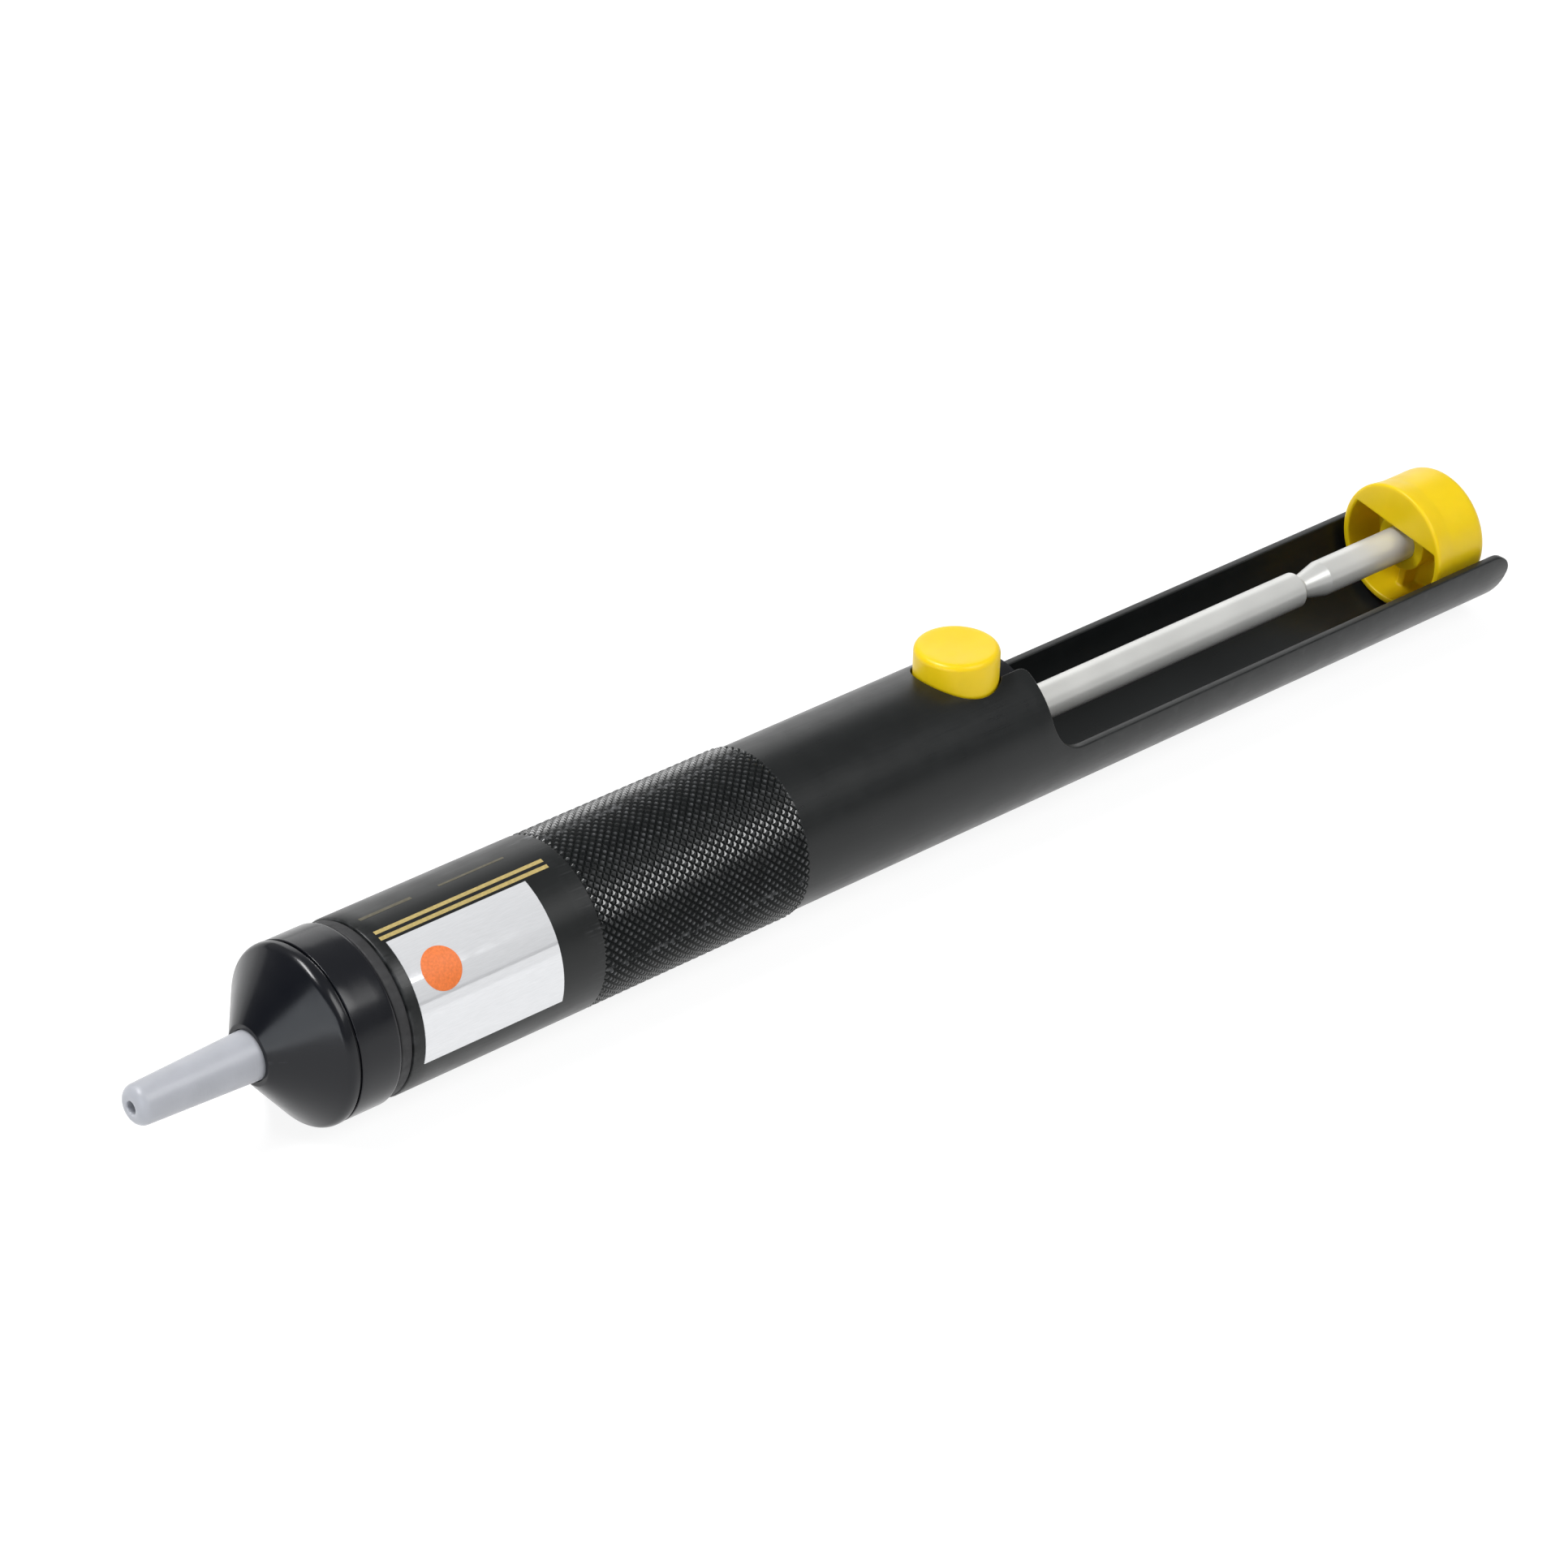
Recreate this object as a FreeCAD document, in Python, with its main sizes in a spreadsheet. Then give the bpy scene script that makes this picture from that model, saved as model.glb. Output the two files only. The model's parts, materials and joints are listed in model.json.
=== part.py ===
"""Desoldering pump: a spring-loaded suction tool for molten solder.

The tool lies along X, with its nozzle's mouth at the origin, the thumb knob towards +X and the
release button towards +Z. Lengths are millimetres. Pressing the knob drives the piston to the
front against the main spring, the latch plate catches the rod's neck, and the button frees it.
"""
import FreeCAD, Part
import math
import os
import re
import Sketcher

SIZES = {
    # Nozzle: a tapered plastic tube with a flange held inside the cap.
    "nozzle_reach": 15.3,
    "nozzle_tip_radius": 2.3,
    "nozzle_root_radius": 2.87,
    "nozzle_bore": 0.75,
    "nozzle_tip_round": 1.2,
    "flange_radius": 4.4,
    "flange_thick": 2.0,
    "nozzle_ring_section": 0.8,
    # Front cap: cone, land, groove, collar and the spigot that plugs the tube.
    "cap_hole": 2.95,
    "cap_lip_radius": 3.5,
    "cap_radius": 10.5,
    "cap_cone": 5.7,
    "cap_shoulder_round": 1.2,
    "cap_land_end": 6.75,
    "groove_width": 0.35,
    "groove_depth": 0.35,
    "collar_radius": 10.45,
    "collar_end": 12.6,
    "collar_round": 0.6,
    "flange_pocket": 4.7,
    "pocket_start": 1.9,
    "seat_step": 6.6,
    "spigot_length": 8.0,
    "spigot_radius": 8.95,
    "spigot_bore": 7.4,
    "cap_ring_section": 0.5,
    "cap_ring_groove": 4.0,
    "gasket_width": 1.5,
    "gasket_radius": 10.1,
    # Barrel: a closed tube that becomes a half-round trough behind the button.
    "tube_bore": 9.0,
    "tube_front_radius": 10.3,
    "tube_radius": 10.0,
    "tube_length": 171.6,
    "tube_chamfer": 0.25,
    "knurl_start": 26.4,
    "knurl_end": 56.2,
    "knurl_mean_radius": 10.2,
    "trough_start": 94.45,
    "trough_edge": -0.2,
    "trough_corner": 4.5,
    "trough_end_round": 3.0,
    "button_hole": 5.2,
    "notch_half_width": 3.8,
    "notch_round": 1.0,
    "screw_hole": 2.3,
    # Label: a thin sticker round the near side of the barrel.
    "label_start": 1.5,
    "label_width": 19.0,
    "label_thick": 0.1,
    "label_gap": 0.01,
    "label_from": 111.0,
    "label_sweep": 83.0,
    # Main spring and its seat in the cap.
    "seat_boss": 1.1,
    "seat_boss_radius": 4.6,
    "seat_flange": 1.5,
    "seat_flange_radius": 7.3,
    "seat_spigot": 2.0,
    "seat_spigot_radius": 5.9,
    "seat_bore": 1.6,
    "spring_radius": 6.6,
    "spring_wire": 0.5,
    "spring_turns": 14.0,
    # Piston, with its ring, washer and nut.
    "piston_front": 98.4,
    "piston_radius": 8.94,
    "piston_length": 7.9,
    "piston_bore": 1.56,
    "ring_groove_start": 2.8,
    "ring_groove_width": 2.0,
    "ring_groove_floor": 7.14,
    "piston_ring_section": 0.9,
    "piston_ring_reach": 8.96,
    "end_float": 0.05,
    "washer_radius": 3.5,
    "washer_thick": 0.5,
    "nut_corner_radius": 3.175,
    "nut_thick": 2.4,
    # Plunger rod, cleaning pin and thumb knob.
    "rod_radius": 2.2,
    "rod_thread_radius": 1.5,
    "rod_thread_stub": 0.2,
    "neck_station": 173.8,
    "neck_radius": 1.4,
    "neck_front": 0.9,
    "neck_back": 3.6,
    "pin_radius": 0.5,
    "pin_depth": 5.0,
    "pin_tip": 58.6,
    "knob_station": 189.9,
    "knob_length": 8.8,
    "knob_radius": 7.75,
    "knob_rim_radius": 8.05,
    "knob_rim_width": 0.4,
    "knob_rim_blend": 2.4,
    "knob_edge_round": 1.2,
    "knob_cup_radius": 7.15,
    "knob_cup_depth": 5.8,
    "knob_turn": 9.3,
    "hub_radius": 3.6,
    "hub_setback": 1.8,
    "web_low": 2.9,
    "rib_half_width": 0.5,
    "rib_low": 7.35,
    "rib_setback": 3.5,
    "rod_end_depth": 7.5,
    # Rod guide, bumper, latch and button at the back of the closed tube.
    "bumper_gap": 0.1,
    "bumper_thick": 2.0,
    "bumper_radius": 8.6,
    "bumper_bore": 2.6,
    "guide_radius": 8.97,
    "guide_length": 14.8,
    "guide_bore": 2.25,
    "button_station": 116.7,
    "button_radius": 5.0,
    "button_bottom": 4.9,
    "button_top": 12.85,
    "button_round": 0.7,
    "button_pocket_floor": 3.3,
    "plate_thick": 1.6,
    "plate_half_width": 4.9,
    "plate_bottom": -4.6,
    "plate_hole": 2.27,
    "plate_hole_rise": 1.6,
    "tab_half_width": 2.6,
    "tab_height": 2.5,
    "slot_clearance": 0.2,
    "slot_bottom": -6.3,
    "latch_spring_floor": -8.2,
    "latch_spring_radius": 1.3,
    "latch_spring_wire": 0.175,
    "latch_spring_turns": 4.0,
    "latch_spring_pocket": 1.8,
    "screw_station": 111.2,
    "screw_head_radius": 2.2,
    "screw_head_face": -9.75,
    "screw_head_seat": -8.75,
    "screw_shank_radius": 1.0,
    "screw_shank_top": -5.6,
    "driver_slot_width": 0.5,
    "driver_slot_depth": 0.4,
}

os.makedirs("parts", exist_ok=True)
doc = FreeCAD.newDocument("desoldering_pump")
sheet = doc.addObject("Spreadsheet::Sheet", "sizes")
for row, (alias, size) in enumerate(SIZES.items(), start=1):
    sheet.set(f"A{row}", alias)
    sheet.set(f"B{row}", str(size))
    sheet.setAlias(f"B{row}", alias)
doc.recompute()

# Stations along the tool, each worked out from the sizes.
TUBE_FRONT = "nozzle_reach + collar_end + gasket_width"
SEAT_FRONT = "nozzle_reach + pocket_start + flange_thick + 2 * nozzle_ring_section"
SPRING_FRONT = f"{SEAT_FRONT} + seat_boss + seat_flange"
WASHER_FRONT = "piston_front - end_float - washer_thick"
NUT_FRONT = f"{WASHER_FRONT} - nut_thick"
ROD_FRONT = f"{NUT_FRONT} - rod_thread_stub"
ROD_SHOULDER = "piston_front + piston_length + end_float"
BUMPER_FRONT = "piston_front + piston_length + bumper_gap"
GUIDE_FRONT = f"{BUMPER_FRONT} + bumper_thick"

ALONG_X = FreeCAD.Rotation(FreeCAD.Vector(1, 1, 1), 120)
ALONG_Z = FreeCAD.Rotation()


def bound(text):
    """The expression with every size's alias looked up in the sheet."""
    def lookup(word):
        return f"sizes.{word[0]}" if word[0] in SIZES else word[0]
    return re.sub(r"[a-z][a-z_]*", lookup, text)


def number(text):
    return float(sheet.evalExpression(bound(text)))


def place(thing, x="0", y="0", z="0", rotation=ALONG_Z):
    """Put a piece at a station, with its three coordinates bound to the sheet."""
    thing.Placement = FreeCAD.Placement(FreeCAD.Vector(), rotation)
    for axis, text in zip("xyz", (x, y, z)):
        thing.setExpression(f"Placement.Base.{axis}", bound(text))
    return thing


# Sketches and features ---------------------------------------------------------------------------

def new_body(name):
    body = doc.addObject("PartDesign::Body", name)
    body.Label = name
    return body


def new_sketch(body, name, plane, offset="0"):
    """An empty sketch on one of the body's own origin planes, moved along that plane's normal."""
    sketch = body.newObject("Sketcher::SketchObject", name)
    support = next(item for item in body.Origin.OriginFeatures if item.Role == plane)
    sketch.AttachmentSupport = [(support, "")]
    sketch.MapMode = "FlatFace"
    sketch.setExpression("AttachmentOffset.Base.z", bound(offset))
    return sketch


def pin_point(sketch, geometry, end, direction, text):
    """Hold one coordinate of a sketch point at the sheet's value."""
    distance = number(text)
    if abs(distance) < 1e-9:
        axis = -2 if direction == "X" else -1
        sketch.addConstraint(Sketcher.Constraint("PointOnObject", geometry, end, axis))
        return
    kind = "Distance" + direction
    index = sketch.addConstraint(Sketcher.Constraint(kind, -1, 1, geometry, end, distance))
    sketch.setExpression(f"Constraints[{index}]", bound(text))


def outline(body, name, points, plane="XY_Plane", offset="0", rounded=()):
    """A closed outline through points whose coordinates are expressions.

    Each pair in rounded gives a corner's index and the radius that rounds it.
    """
    sketch = new_sketch(body, name, plane, offset)
    corners = [FreeCAD.Vector(number(x), number(y), 0) for x, y in points]
    for start, end in zip(corners, corners[1:] + corners[:1]):
        sketch.addGeometry(Part.LineSegment(start, end), False)
    for index, (x, y) in enumerate(points):
        following = (index + 1) % len(points)
        sketch.addConstraint(Sketcher.Constraint("Coincident", index, 2, following, 1))
        pin_point(sketch, index, 1, "X", x)
        pin_point(sketch, index, 1, "Y", y)
    for corner, radius in rounded:
        arc = sketch.GeometryCount
        sketch.fillet(corner, 1, number(radius), True, True)
        index = sketch.addConstraint(Sketcher.Constraint("Radius", arc, number(radius)))
        sketch.setExpression(f"Constraints[{index}]", bound(radius))
    return sketch


def circle(body, name, radius, x="0", y="0", plane="YZ_Plane", offset="0"):
    sketch = new_sketch(body, name, plane, offset)
    centre = FreeCAD.Vector(number(x), number(y), 0)
    ring = Part.Circle(centre, FreeCAD.Vector(0, 0, 1), number(radius))
    sketch.addGeometry(ring, False)
    pin_point(sketch, 0, 3, "X", x)
    pin_point(sketch, 0, 3, "Y", y)
    index = sketch.addConstraint(Sketcher.Constraint("Radius", 0, number(radius)))
    sketch.setExpression(f"Constraints[{index}]", bound(radius))
    return sketch


def rectangle(body, name, low, high, plane="YZ_Plane", offset="0"):
    corners = [low, (high[0], low[1]), high, (low[0], high[1])]
    return outline(body, name, corners, plane, offset)


def segment(body, name, radius, low, plane="YZ_Plane", offset="0"):
    """The part of a disc that lies above a level chord."""
    sketch = new_sketch(body, name, plane, offset)
    reach, level = number(radius), number(low)
    half = math.sqrt(reach ** 2 - level ** 2)
    disc = Part.Circle(FreeCAD.Vector(), FreeCAD.Vector(0, 0, 1), reach)
    start = math.asin(level / reach)
    sketch.addGeometry(Part.ArcOfCircle(disc, start, math.pi - start), False)
    left, right = FreeCAD.Vector(-half, level, 0), FreeCAD.Vector(half, level, 0)
    sketch.addGeometry(Part.LineSegment(left, right), False)
    sketch.addConstraint(Sketcher.Constraint("Coincident", 0, 3, -1, 1))
    sketch.addConstraint(Sketcher.Constraint("Coincident", 0, 1, 1, 2))
    sketch.addConstraint(Sketcher.Constraint("Coincident", 0, 2, 1, 1))
    sketch.addConstraint(Sketcher.Constraint("Horizontal", 1))
    index = sketch.addConstraint(Sketcher.Constraint("Radius", 0, reach))
    sketch.setExpression(f"Constraints[{index}]", bound(radius))
    pin_point(sketch, 1, 1, "Y", low)
    return sketch


def revolve(body, name, sketch, axis="H_Axis"):
    turned = body.newObject("PartDesign::Revolution", name)
    turned.Profile = sketch
    turned.ReferenceAxis = (sketch, [axis])
    turned.Angle = 360.0
    doc.recompute()
    return turned


def turned_body(name, points):
    """A piece turned about its own X axis from an outline of (station, radius) points."""
    body = new_body(name)
    revolve(body, f"{name}_turned", outline(body, f"{name}_section", points))
    return body


def pad(body, name, sketch, length):
    padded = body.newObject("PartDesign::Pad", name)
    padded.Profile = sketch
    padded.setExpression("Length", bound(length))
    before = body.Shape.Volume
    doc.recompute()
    if body.Shape.Volume <= before:
        raise SystemExit(f"{name} adds nothing")
    return padded


def pocket(body, name, sketch, length, backwards=False, both_ways=False):
    """Cut a sketch into the body: along its normal, against it, or both ways."""
    before = body.Shape.Volume
    cut_feature = body.newObject("PartDesign::Pocket", name)
    cut_feature.Profile = sketch
    cut_feature.setExpression("Length", bound(length))
    cut_feature.Reversed = not backwards
    cut_feature.Midplane = both_ways
    doc.recompute()
    if body.Shape.Volume >= before:
        raise SystemExit(f"{name} cuts nothing")
    return cut_feature


def round_edges(body, name, radius, chosen):
    """Fillet the edges of the body that the chosen function accepts."""
    base = body.Tip
    names = [f"Edge{i}" for i, edge in enumerate(base.Shape.Edges, start=1) if chosen(edge)]
    if not names:
        raise SystemExit(f"{name} finds no edge")
    fillet = body.newObject("PartDesign::Fillet", name)
    fillet.Base = (base, names)
    fillet.setExpression("Radius", bound(radius))
    doc.recompute()
    return fillet


def ring_at(station, radius, axis="x"):
    """Choose the circular edge at a station and radius of a turned piece."""
    def chosen(edge):
        if not isinstance(edge.Curve, Part.Circle):
            return False
        along = getattr(edge.Curve.Center, axis)
        same_station = abs(along - number(station)) < 1e-4
        return same_station and abs(edge.Curve.Radius - number(radius)) < 1e-4
    return chosen


def coil(name, radius, wire, height, turns, plane, axis):
    """A compression spring wound about its own axis, starting half a wire in."""
    body = new_body(name)
    centre = ("0", radius) if axis == "H_Axis" else (radius, "0")
    section = circle(body, f"{name}_section", wire, *centre, plane=plane)
    helix = body.newObject("PartDesign::AdditiveHelix", f"{name}_helix")
    helix.Profile = section
    helix.ReferenceAxis = (section, [axis])
    helix.Mode = "pitch-height-angle"
    helix.setExpression("Height", bound(f"{height} - 2 * {wire}"))
    helix.setExpression("Pitch", bound(f"({height} - 2 * {wire}) / {turns}"))
    doc.recompute()
    return body


# Primitives and booleans -------------------------------------------------------------------------

def cylinder(name, radius, length, x="0", y="0", z="0", rotation=ALONG_X):
    solid = doc.addObject("Part::Cylinder", name)
    solid.setExpression("Radius", bound(radius))
    solid.setExpression("Height", bound(length))
    return place(solid, x, y, z, rotation)


def box(name, low, high):
    """A block between two corners whose coordinates are expressions."""
    solid = doc.addObject("Part::Box", name)
    for side, start, end in zip(("Length", "Width", "Height"), low, high):
        solid.setExpression(side, bound(f"({end}) - ({start})"))
    return place(solid, *low)


def torus(name, ring_radius, section_radius, x):
    ring = doc.addObject("Part::Torus", name)
    ring.setExpression("Radius1", bound(ring_radius))
    ring.setExpression("Radius2", bound(section_radius))
    ring.Label = name
    return place(ring, x, rotation=ALONG_X)


def cut(name, base, *tools):
    """The base with every tool taken away."""
    joined = tools[0]
    if len(tools) > 1:
        joined = doc.addObject("Part::MultiFuse", f"{name}_tools")
        joined.Shapes = list(tools)
    result = doc.addObject("Part::Cut", name)
    result.Base = base
    result.Tool = joined
    result.Label = name
    return result


def washer(name, outer, inner, thick, x):
    rim = cylinder(f"{name}_rim", outer, thick, x)
    hole = cylinder(f"{name}_hole", inner, thick, x)
    return cut(name, rim, hole)


# Front end ---------------------------------------------------------------------------------------

def make_nozzle():
    flange_start = "nozzle_reach + pocket_start"
    body = turned_body("nozzle", [
        ("0", "nozzle_bore"),
        ("0", "nozzle_tip_radius"),
        ("nozzle_reach", "nozzle_root_radius"),
        (flange_start, "nozzle_root_radius"),
        (flange_start, "flange_radius"),
        (f"{flange_start} + flange_thick", "flange_radius"),
        (f"{flange_start} + flange_thick", "nozzle_bore"),
    ])
    round_edges(body, "nozzle_tip_rounding", "nozzle_tip_round", ring_at("0", "nozzle_tip_radius"))
    return body


def make_nozzle_o_ring():
    station = "nozzle_reach + pocket_start + flange_thick + nozzle_ring_section"
    return torus("nozzle_o_ring", "flange_radius - nozzle_ring_section", "nozzle_ring_section", station)


def make_front_cap():
    ring_floor = "spigot_radius - 2 * cap_ring_section"
    ring_start = "collar_end + cap_ring_groove - cap_ring_section"
    ring_end = "collar_end + cap_ring_groove + cap_ring_section"
    groove_floor = "collar_radius - groove_depth"
    body = turned_body("front_cap", [
        ("0", "cap_hole"),
        ("0", "cap_lip_radius"),
        ("cap_cone", "cap_radius"),
        ("cap_land_end", "cap_radius"),
        ("cap_land_end", groove_floor),
        ("cap_land_end + groove_width", groove_floor),
        ("cap_land_end + groove_width", "collar_radius"),
        ("collar_end", "collar_radius"),
        ("collar_end", "spigot_radius"),
        (ring_start, "spigot_radius"),
        (ring_start, ring_floor),
        (ring_end, ring_floor),
        (ring_end, "spigot_radius"),
        ("collar_end + spigot_length", "spigot_radius"),
        ("collar_end + spigot_length", "spigot_bore"),
        ("seat_step", "spigot_bore"),
        ("seat_step", "flange_pocket"),
        ("pocket_start", "flange_pocket"),
        ("pocket_start", "cap_hole"),
    ])
    round_edges(body, "cap_shoulder", "cap_shoulder_round", ring_at("cap_cone", "cap_radius"))
    round_edges(body, "collar_rounding", "collar_round", ring_at("collar_end", "collar_radius"))
    return place(body, "nozzle_reach")


def make_cap_o_ring():
    station = "nozzle_reach + collar_end + cap_ring_groove"
    return torus("cap_o_ring", "spigot_radius - cap_ring_section", "cap_ring_section", station)


def make_cap_gasket():
    front = "nozzle_reach + collar_end"
    return washer("cap_gasket", "gasket_radius", "spigot_radius", "gasket_width", front)


def make_spring_seat():
    body = turned_body("spring_seat", [
        ("0", "seat_bore"),
        ("0", "seat_boss_radius"),
        ("seat_boss", "seat_boss_radius"),
        ("seat_boss", "seat_flange_radius"),
        ("seat_boss + seat_flange", "seat_flange_radius"),
        ("seat_boss + seat_flange", "seat_spigot_radius"),
        ("seat_boss + seat_flange + seat_spigot", "seat_spigot_radius"),
        ("seat_boss + seat_flange + seat_spigot", "seat_bore"),
    ])
    return place(body, SEAT_FRONT)


# Barrel ------------------------------------------------------------------------------------------

def make_barrel_tube():
    body = turned_body("barrel_tube", [
        ("0", "tube_bore"),
        ("0", "tube_front_radius - tube_chamfer"),
        ("tube_chamfer", "tube_front_radius"),
        ("knurl_start", "tube_front_radius"),
        ("knurl_start", "knurl_mean_radius"),
        ("knurl_end", "knurl_mean_radius"),
        ("knurl_end", "tube_radius"),
        ("tube_length", "tube_radius"),
        ("tube_length", "tube_bore"),
    ])
    above = "2 * tube_radius"
    below = "-2 * trough_end_round"
    beyond = "tube_length + tube_radius"
    opening = outline(body, "trough_opening", [
        ("trough_start", "trough_edge"),
        ("tube_length", "trough_edge"),
        ("tube_length", below),
        (beyond, below),
        (beyond, above),
        ("trough_start", above),
    ], plane="XZ_Plane", rounded=[(0, "trough_corner"), (1, "trough_end_round")])
    pocket(body, "trough_cut", opening, "4 * tube_radius", both_ways=True)
    button_x = f"button_station - ({TUBE_FRONT})"
    button_hole = circle(body, "button_opening", "button_hole", button_x, plane="XY_Plane")
    pocket(body, "button_cut", button_hole, "2 * tube_radius")
    flare = "(notch_half_width + 2 * notch_round)"
    past = "trough_start + notch_round"
    notch = outline(body, "notch_opening", [
        (button_x, "-notch_half_width"),
        ("trough_start", "-notch_half_width"),
        ("trough_start", f"-{flare}"),
        (past, f"-{flare}"),
        (past, flare),
        ("trough_start", flare),
        ("trough_start", "notch_half_width"),
        (button_x, "notch_half_width"),
    ], rounded=[(1, "notch_round"), (6, "notch_round")])
    pocket(body, "notch_cut", notch, "2 * tube_radius")
    screw_x = f"screw_station - ({TUBE_FRONT})"
    screw_hole = circle(body, "screw_opening", "screw_hole", screw_x, plane="XY_Plane")
    pocket(body, "screw_cut", screw_hole, "2 * tube_radius", backwards=True)
    return place(body, TUBE_FRONT)


def make_label():
    """The sticker is the space between two part-turn cylinders on the barrel."""
    inner = "tube_front_radius + label_gap"
    turn = FreeCAD.Rotation(FreeCAD.Vector(1, 0, 0), number("label_from")).multiply(ALONG_X)
    station = f"{TUBE_FRONT} + label_start"
    outside = cylinder("label_outside", f"{inner} + label_thick", "label_width", station)
    outside.setExpression("Angle", bound("label_sweep"))
    outside.Placement.Rotation = turn
    inside = cylinder("label_inside", inner, "label_width", station)
    return cut("label", outside, inside)


# Spring and piston -------------------------------------------------------------------------------

def make_main_spring():
    height = f"(piston_front - ({SPRING_FRONT}))"
    body = coil("main_spring", "spring_radius", "spring_wire", height, "spring_turns",
                "XY_Plane", "H_Axis")
    return place(body, f"{SPRING_FRONT} + spring_wire")


def make_piston():
    groove_end = "ring_groove_start + ring_groove_width"
    body = turned_body("piston", [
        ("0", "piston_bore"),
        ("0", "piston_radius"),
        ("ring_groove_start", "piston_radius"),
        ("ring_groove_start", "ring_groove_floor"),
        (groove_end, "ring_groove_floor"),
        (groove_end, "piston_radius"),
        ("piston_length", "piston_radius"),
        ("piston_length", "piston_bore"),
    ])
    return place(body, "piston_front")


def make_piston_o_ring():
    station = "piston_front + ring_groove_start + ring_groove_width / 2"
    return torus("piston_o_ring", "piston_ring_reach - piston_ring_section",
                 "piston_ring_section", station)


def make_piston_washer():
    return washer("piston_washer", "washer_radius", "rod_thread_radius", "washer_thick", WASHER_FRONT)


def make_lock_nut():
    hexagon = doc.addObject("Part::Prism", "nut_hexagon")
    hexagon.Polygon = 6
    hexagon.setExpression("Circumradius", bound("nut_corner_radius"))
    hexagon.setExpression("Height", bound("nut_thick"))
    place(hexagon, NUT_FRONT, rotation=ALONG_X)
    thread = cylinder("nut_thread", "rod_thread_radius", "nut_thick", NUT_FRONT)
    return cut("lock_nut", hexagon, thread)


# Plunger -----------------------------------------------------------------------------------------

def make_plunger_rod():
    shoulder = f"{ROD_SHOULDER} - ({ROD_FRONT})"
    neck = f"neck_station - ({ROD_FRONT})"
    end = f"knob_station + rod_end_depth - ({ROD_FRONT})"
    body = turned_body("plunger_rod", [
        ("0", "pin_radius"),
        ("0", "rod_thread_radius"),
        (shoulder, "rod_thread_radius"),
        (shoulder, "rod_radius"),
        (f"{neck} - neck_front", "rod_radius"),
        (neck, "neck_radius"),
        (f"{neck} + neck_back", "rod_radius"),
        (end, "rod_radius"),
        (end, "0"),
        ("pin_depth", "0"),
        ("pin_depth", "pin_radius"),
    ])
    return place(body, ROD_FRONT)


def make_cleaning_pin():
    length = f"{ROD_FRONT} + pin_depth - pin_tip"
    pin = cylinder("cleaning_pin", "pin_radius", length, "pin_tip")
    pin.Label = "cleaning_pin"
    return pin


def make_thumb_knob():
    """An open cup with a hub for the rod, filled above the hub, and with a rib below it."""
    body = turned_body("thumb_knob", [
        ("0", "knob_cup_radius"),
        ("0", "knob_rim_radius"),
        ("knob_rim_width", "knob_rim_radius"),
        ("knob_rim_width + knob_rim_blend", "knob_radius"),
        ("knob_length", "knob_radius"),
        ("knob_length", "0"),
        ("knob_cup_depth", "0"),
        ("knob_cup_depth", "knob_cup_radius"),
    ])
    round_edges(body, "knob_edge", "knob_edge_round", ring_at("knob_length", "knob_radius"))
    root = "(knob_length - knob_cup_depth) / 2"
    hub = circle(body, "hub_section", "hub_radius", offset="hub_setback")
    pad(body, "hub", hub, f"knob_cup_depth - hub_setback + {root}")
    web = segment(body, "web_section", "(knob_cup_radius + knob_radius) / 2", "web_low")
    pad(body, "web", web, f"knob_cup_depth + {root}")
    rib_low = ("-rib_half_width", "-rib_low")
    rib = rectangle(body, "rib_section", rib_low, ("rib_half_width", "-web_low"), offset="rib_setback")
    pad(body, "rib", rib, f"knob_cup_depth - rib_setback + {root}")
    socket = circle(body, "rod_socket_section", "rod_radius", offset="hub_setback")
    pocket(body, "rod_socket", socket, "rod_end_depth - hub_setback")
    turn = FreeCAD.Rotation(FreeCAD.Vector(1, 0, 0), number("knob_turn"))
    return place(body, "knob_station", rotation=turn)


# Rod guide, latch and button ---------------------------------------------------------------------

def make_rubber_bumper():
    return washer("rubber_bumper", "bumper_radius", "bumper_bore", "bumper_thick", BUMPER_FRONT)


def make_rod_guide():
    half_slot = "(plate_thick / 2 + slot_clearance)"
    half_width = "(plate_half_width + slot_clearance)"
    block = cylinder("guide_block", "guide_radius", "guide_length", GUIDE_FRONT)
    bore = cylinder("guide_bore", "guide_bore", "guide_length", GUIDE_FRONT)
    well = cylinder("button_well", "button_hole", "tube_radius", "button_station",
                    z="button_pocket_floor", rotation=ALONG_Z)
    slot = box("plate_slot",
               (f"button_station - {half_slot}", f"-{half_width}", "slot_bottom"),
               (f"button_station + {half_slot}", half_width, "button_pocket_floor + slot_clearance"))
    spring_well = cylinder("spring_well", "latch_spring_pocket", "-latch_spring_floor",
                           "button_station", z="latch_spring_floor", rotation=ALONG_Z)
    head_well = cylinder("screw_head_well", "screw_hole", "tube_radius + screw_head_seat",
                         "screw_station", z="-tube_radius", rotation=ALONG_Z)
    thread = cylinder("screw_thread", "screw_shank_radius", "tube_radius + screw_shank_top",
                      "screw_station", z="-tube_radius", rotation=ALONG_Z)
    return cut("rod_guide", block, bore, well, slot, spring_well, head_well, thread)


def make_guide_screw():
    head = cylinder("screw_head", "screw_head_radius", "screw_head_seat - screw_head_face",
                    "screw_station", z="screw_head_face", rotation=ALONG_Z)
    shank = cylinder("screw_shank", "screw_shank_radius", "screw_shank_top - screw_head_seat",
                     "screw_station", z="screw_head_seat", rotation=ALONG_Z)
    whole = doc.addObject("Part::Fuse", "screw_whole")
    whole.Base = head
    whole.Tool = shank
    half_slot = "driver_slot_width / 2"
    driver_slot = box("driver_slot",
                      ("screw_station - screw_hole", f"-{half_slot}", "-tube_radius"),
                      ("screw_station + screw_hole", half_slot, "screw_head_face + driver_slot_depth"))
    return cut("guide_screw", whole, driver_slot)


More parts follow.
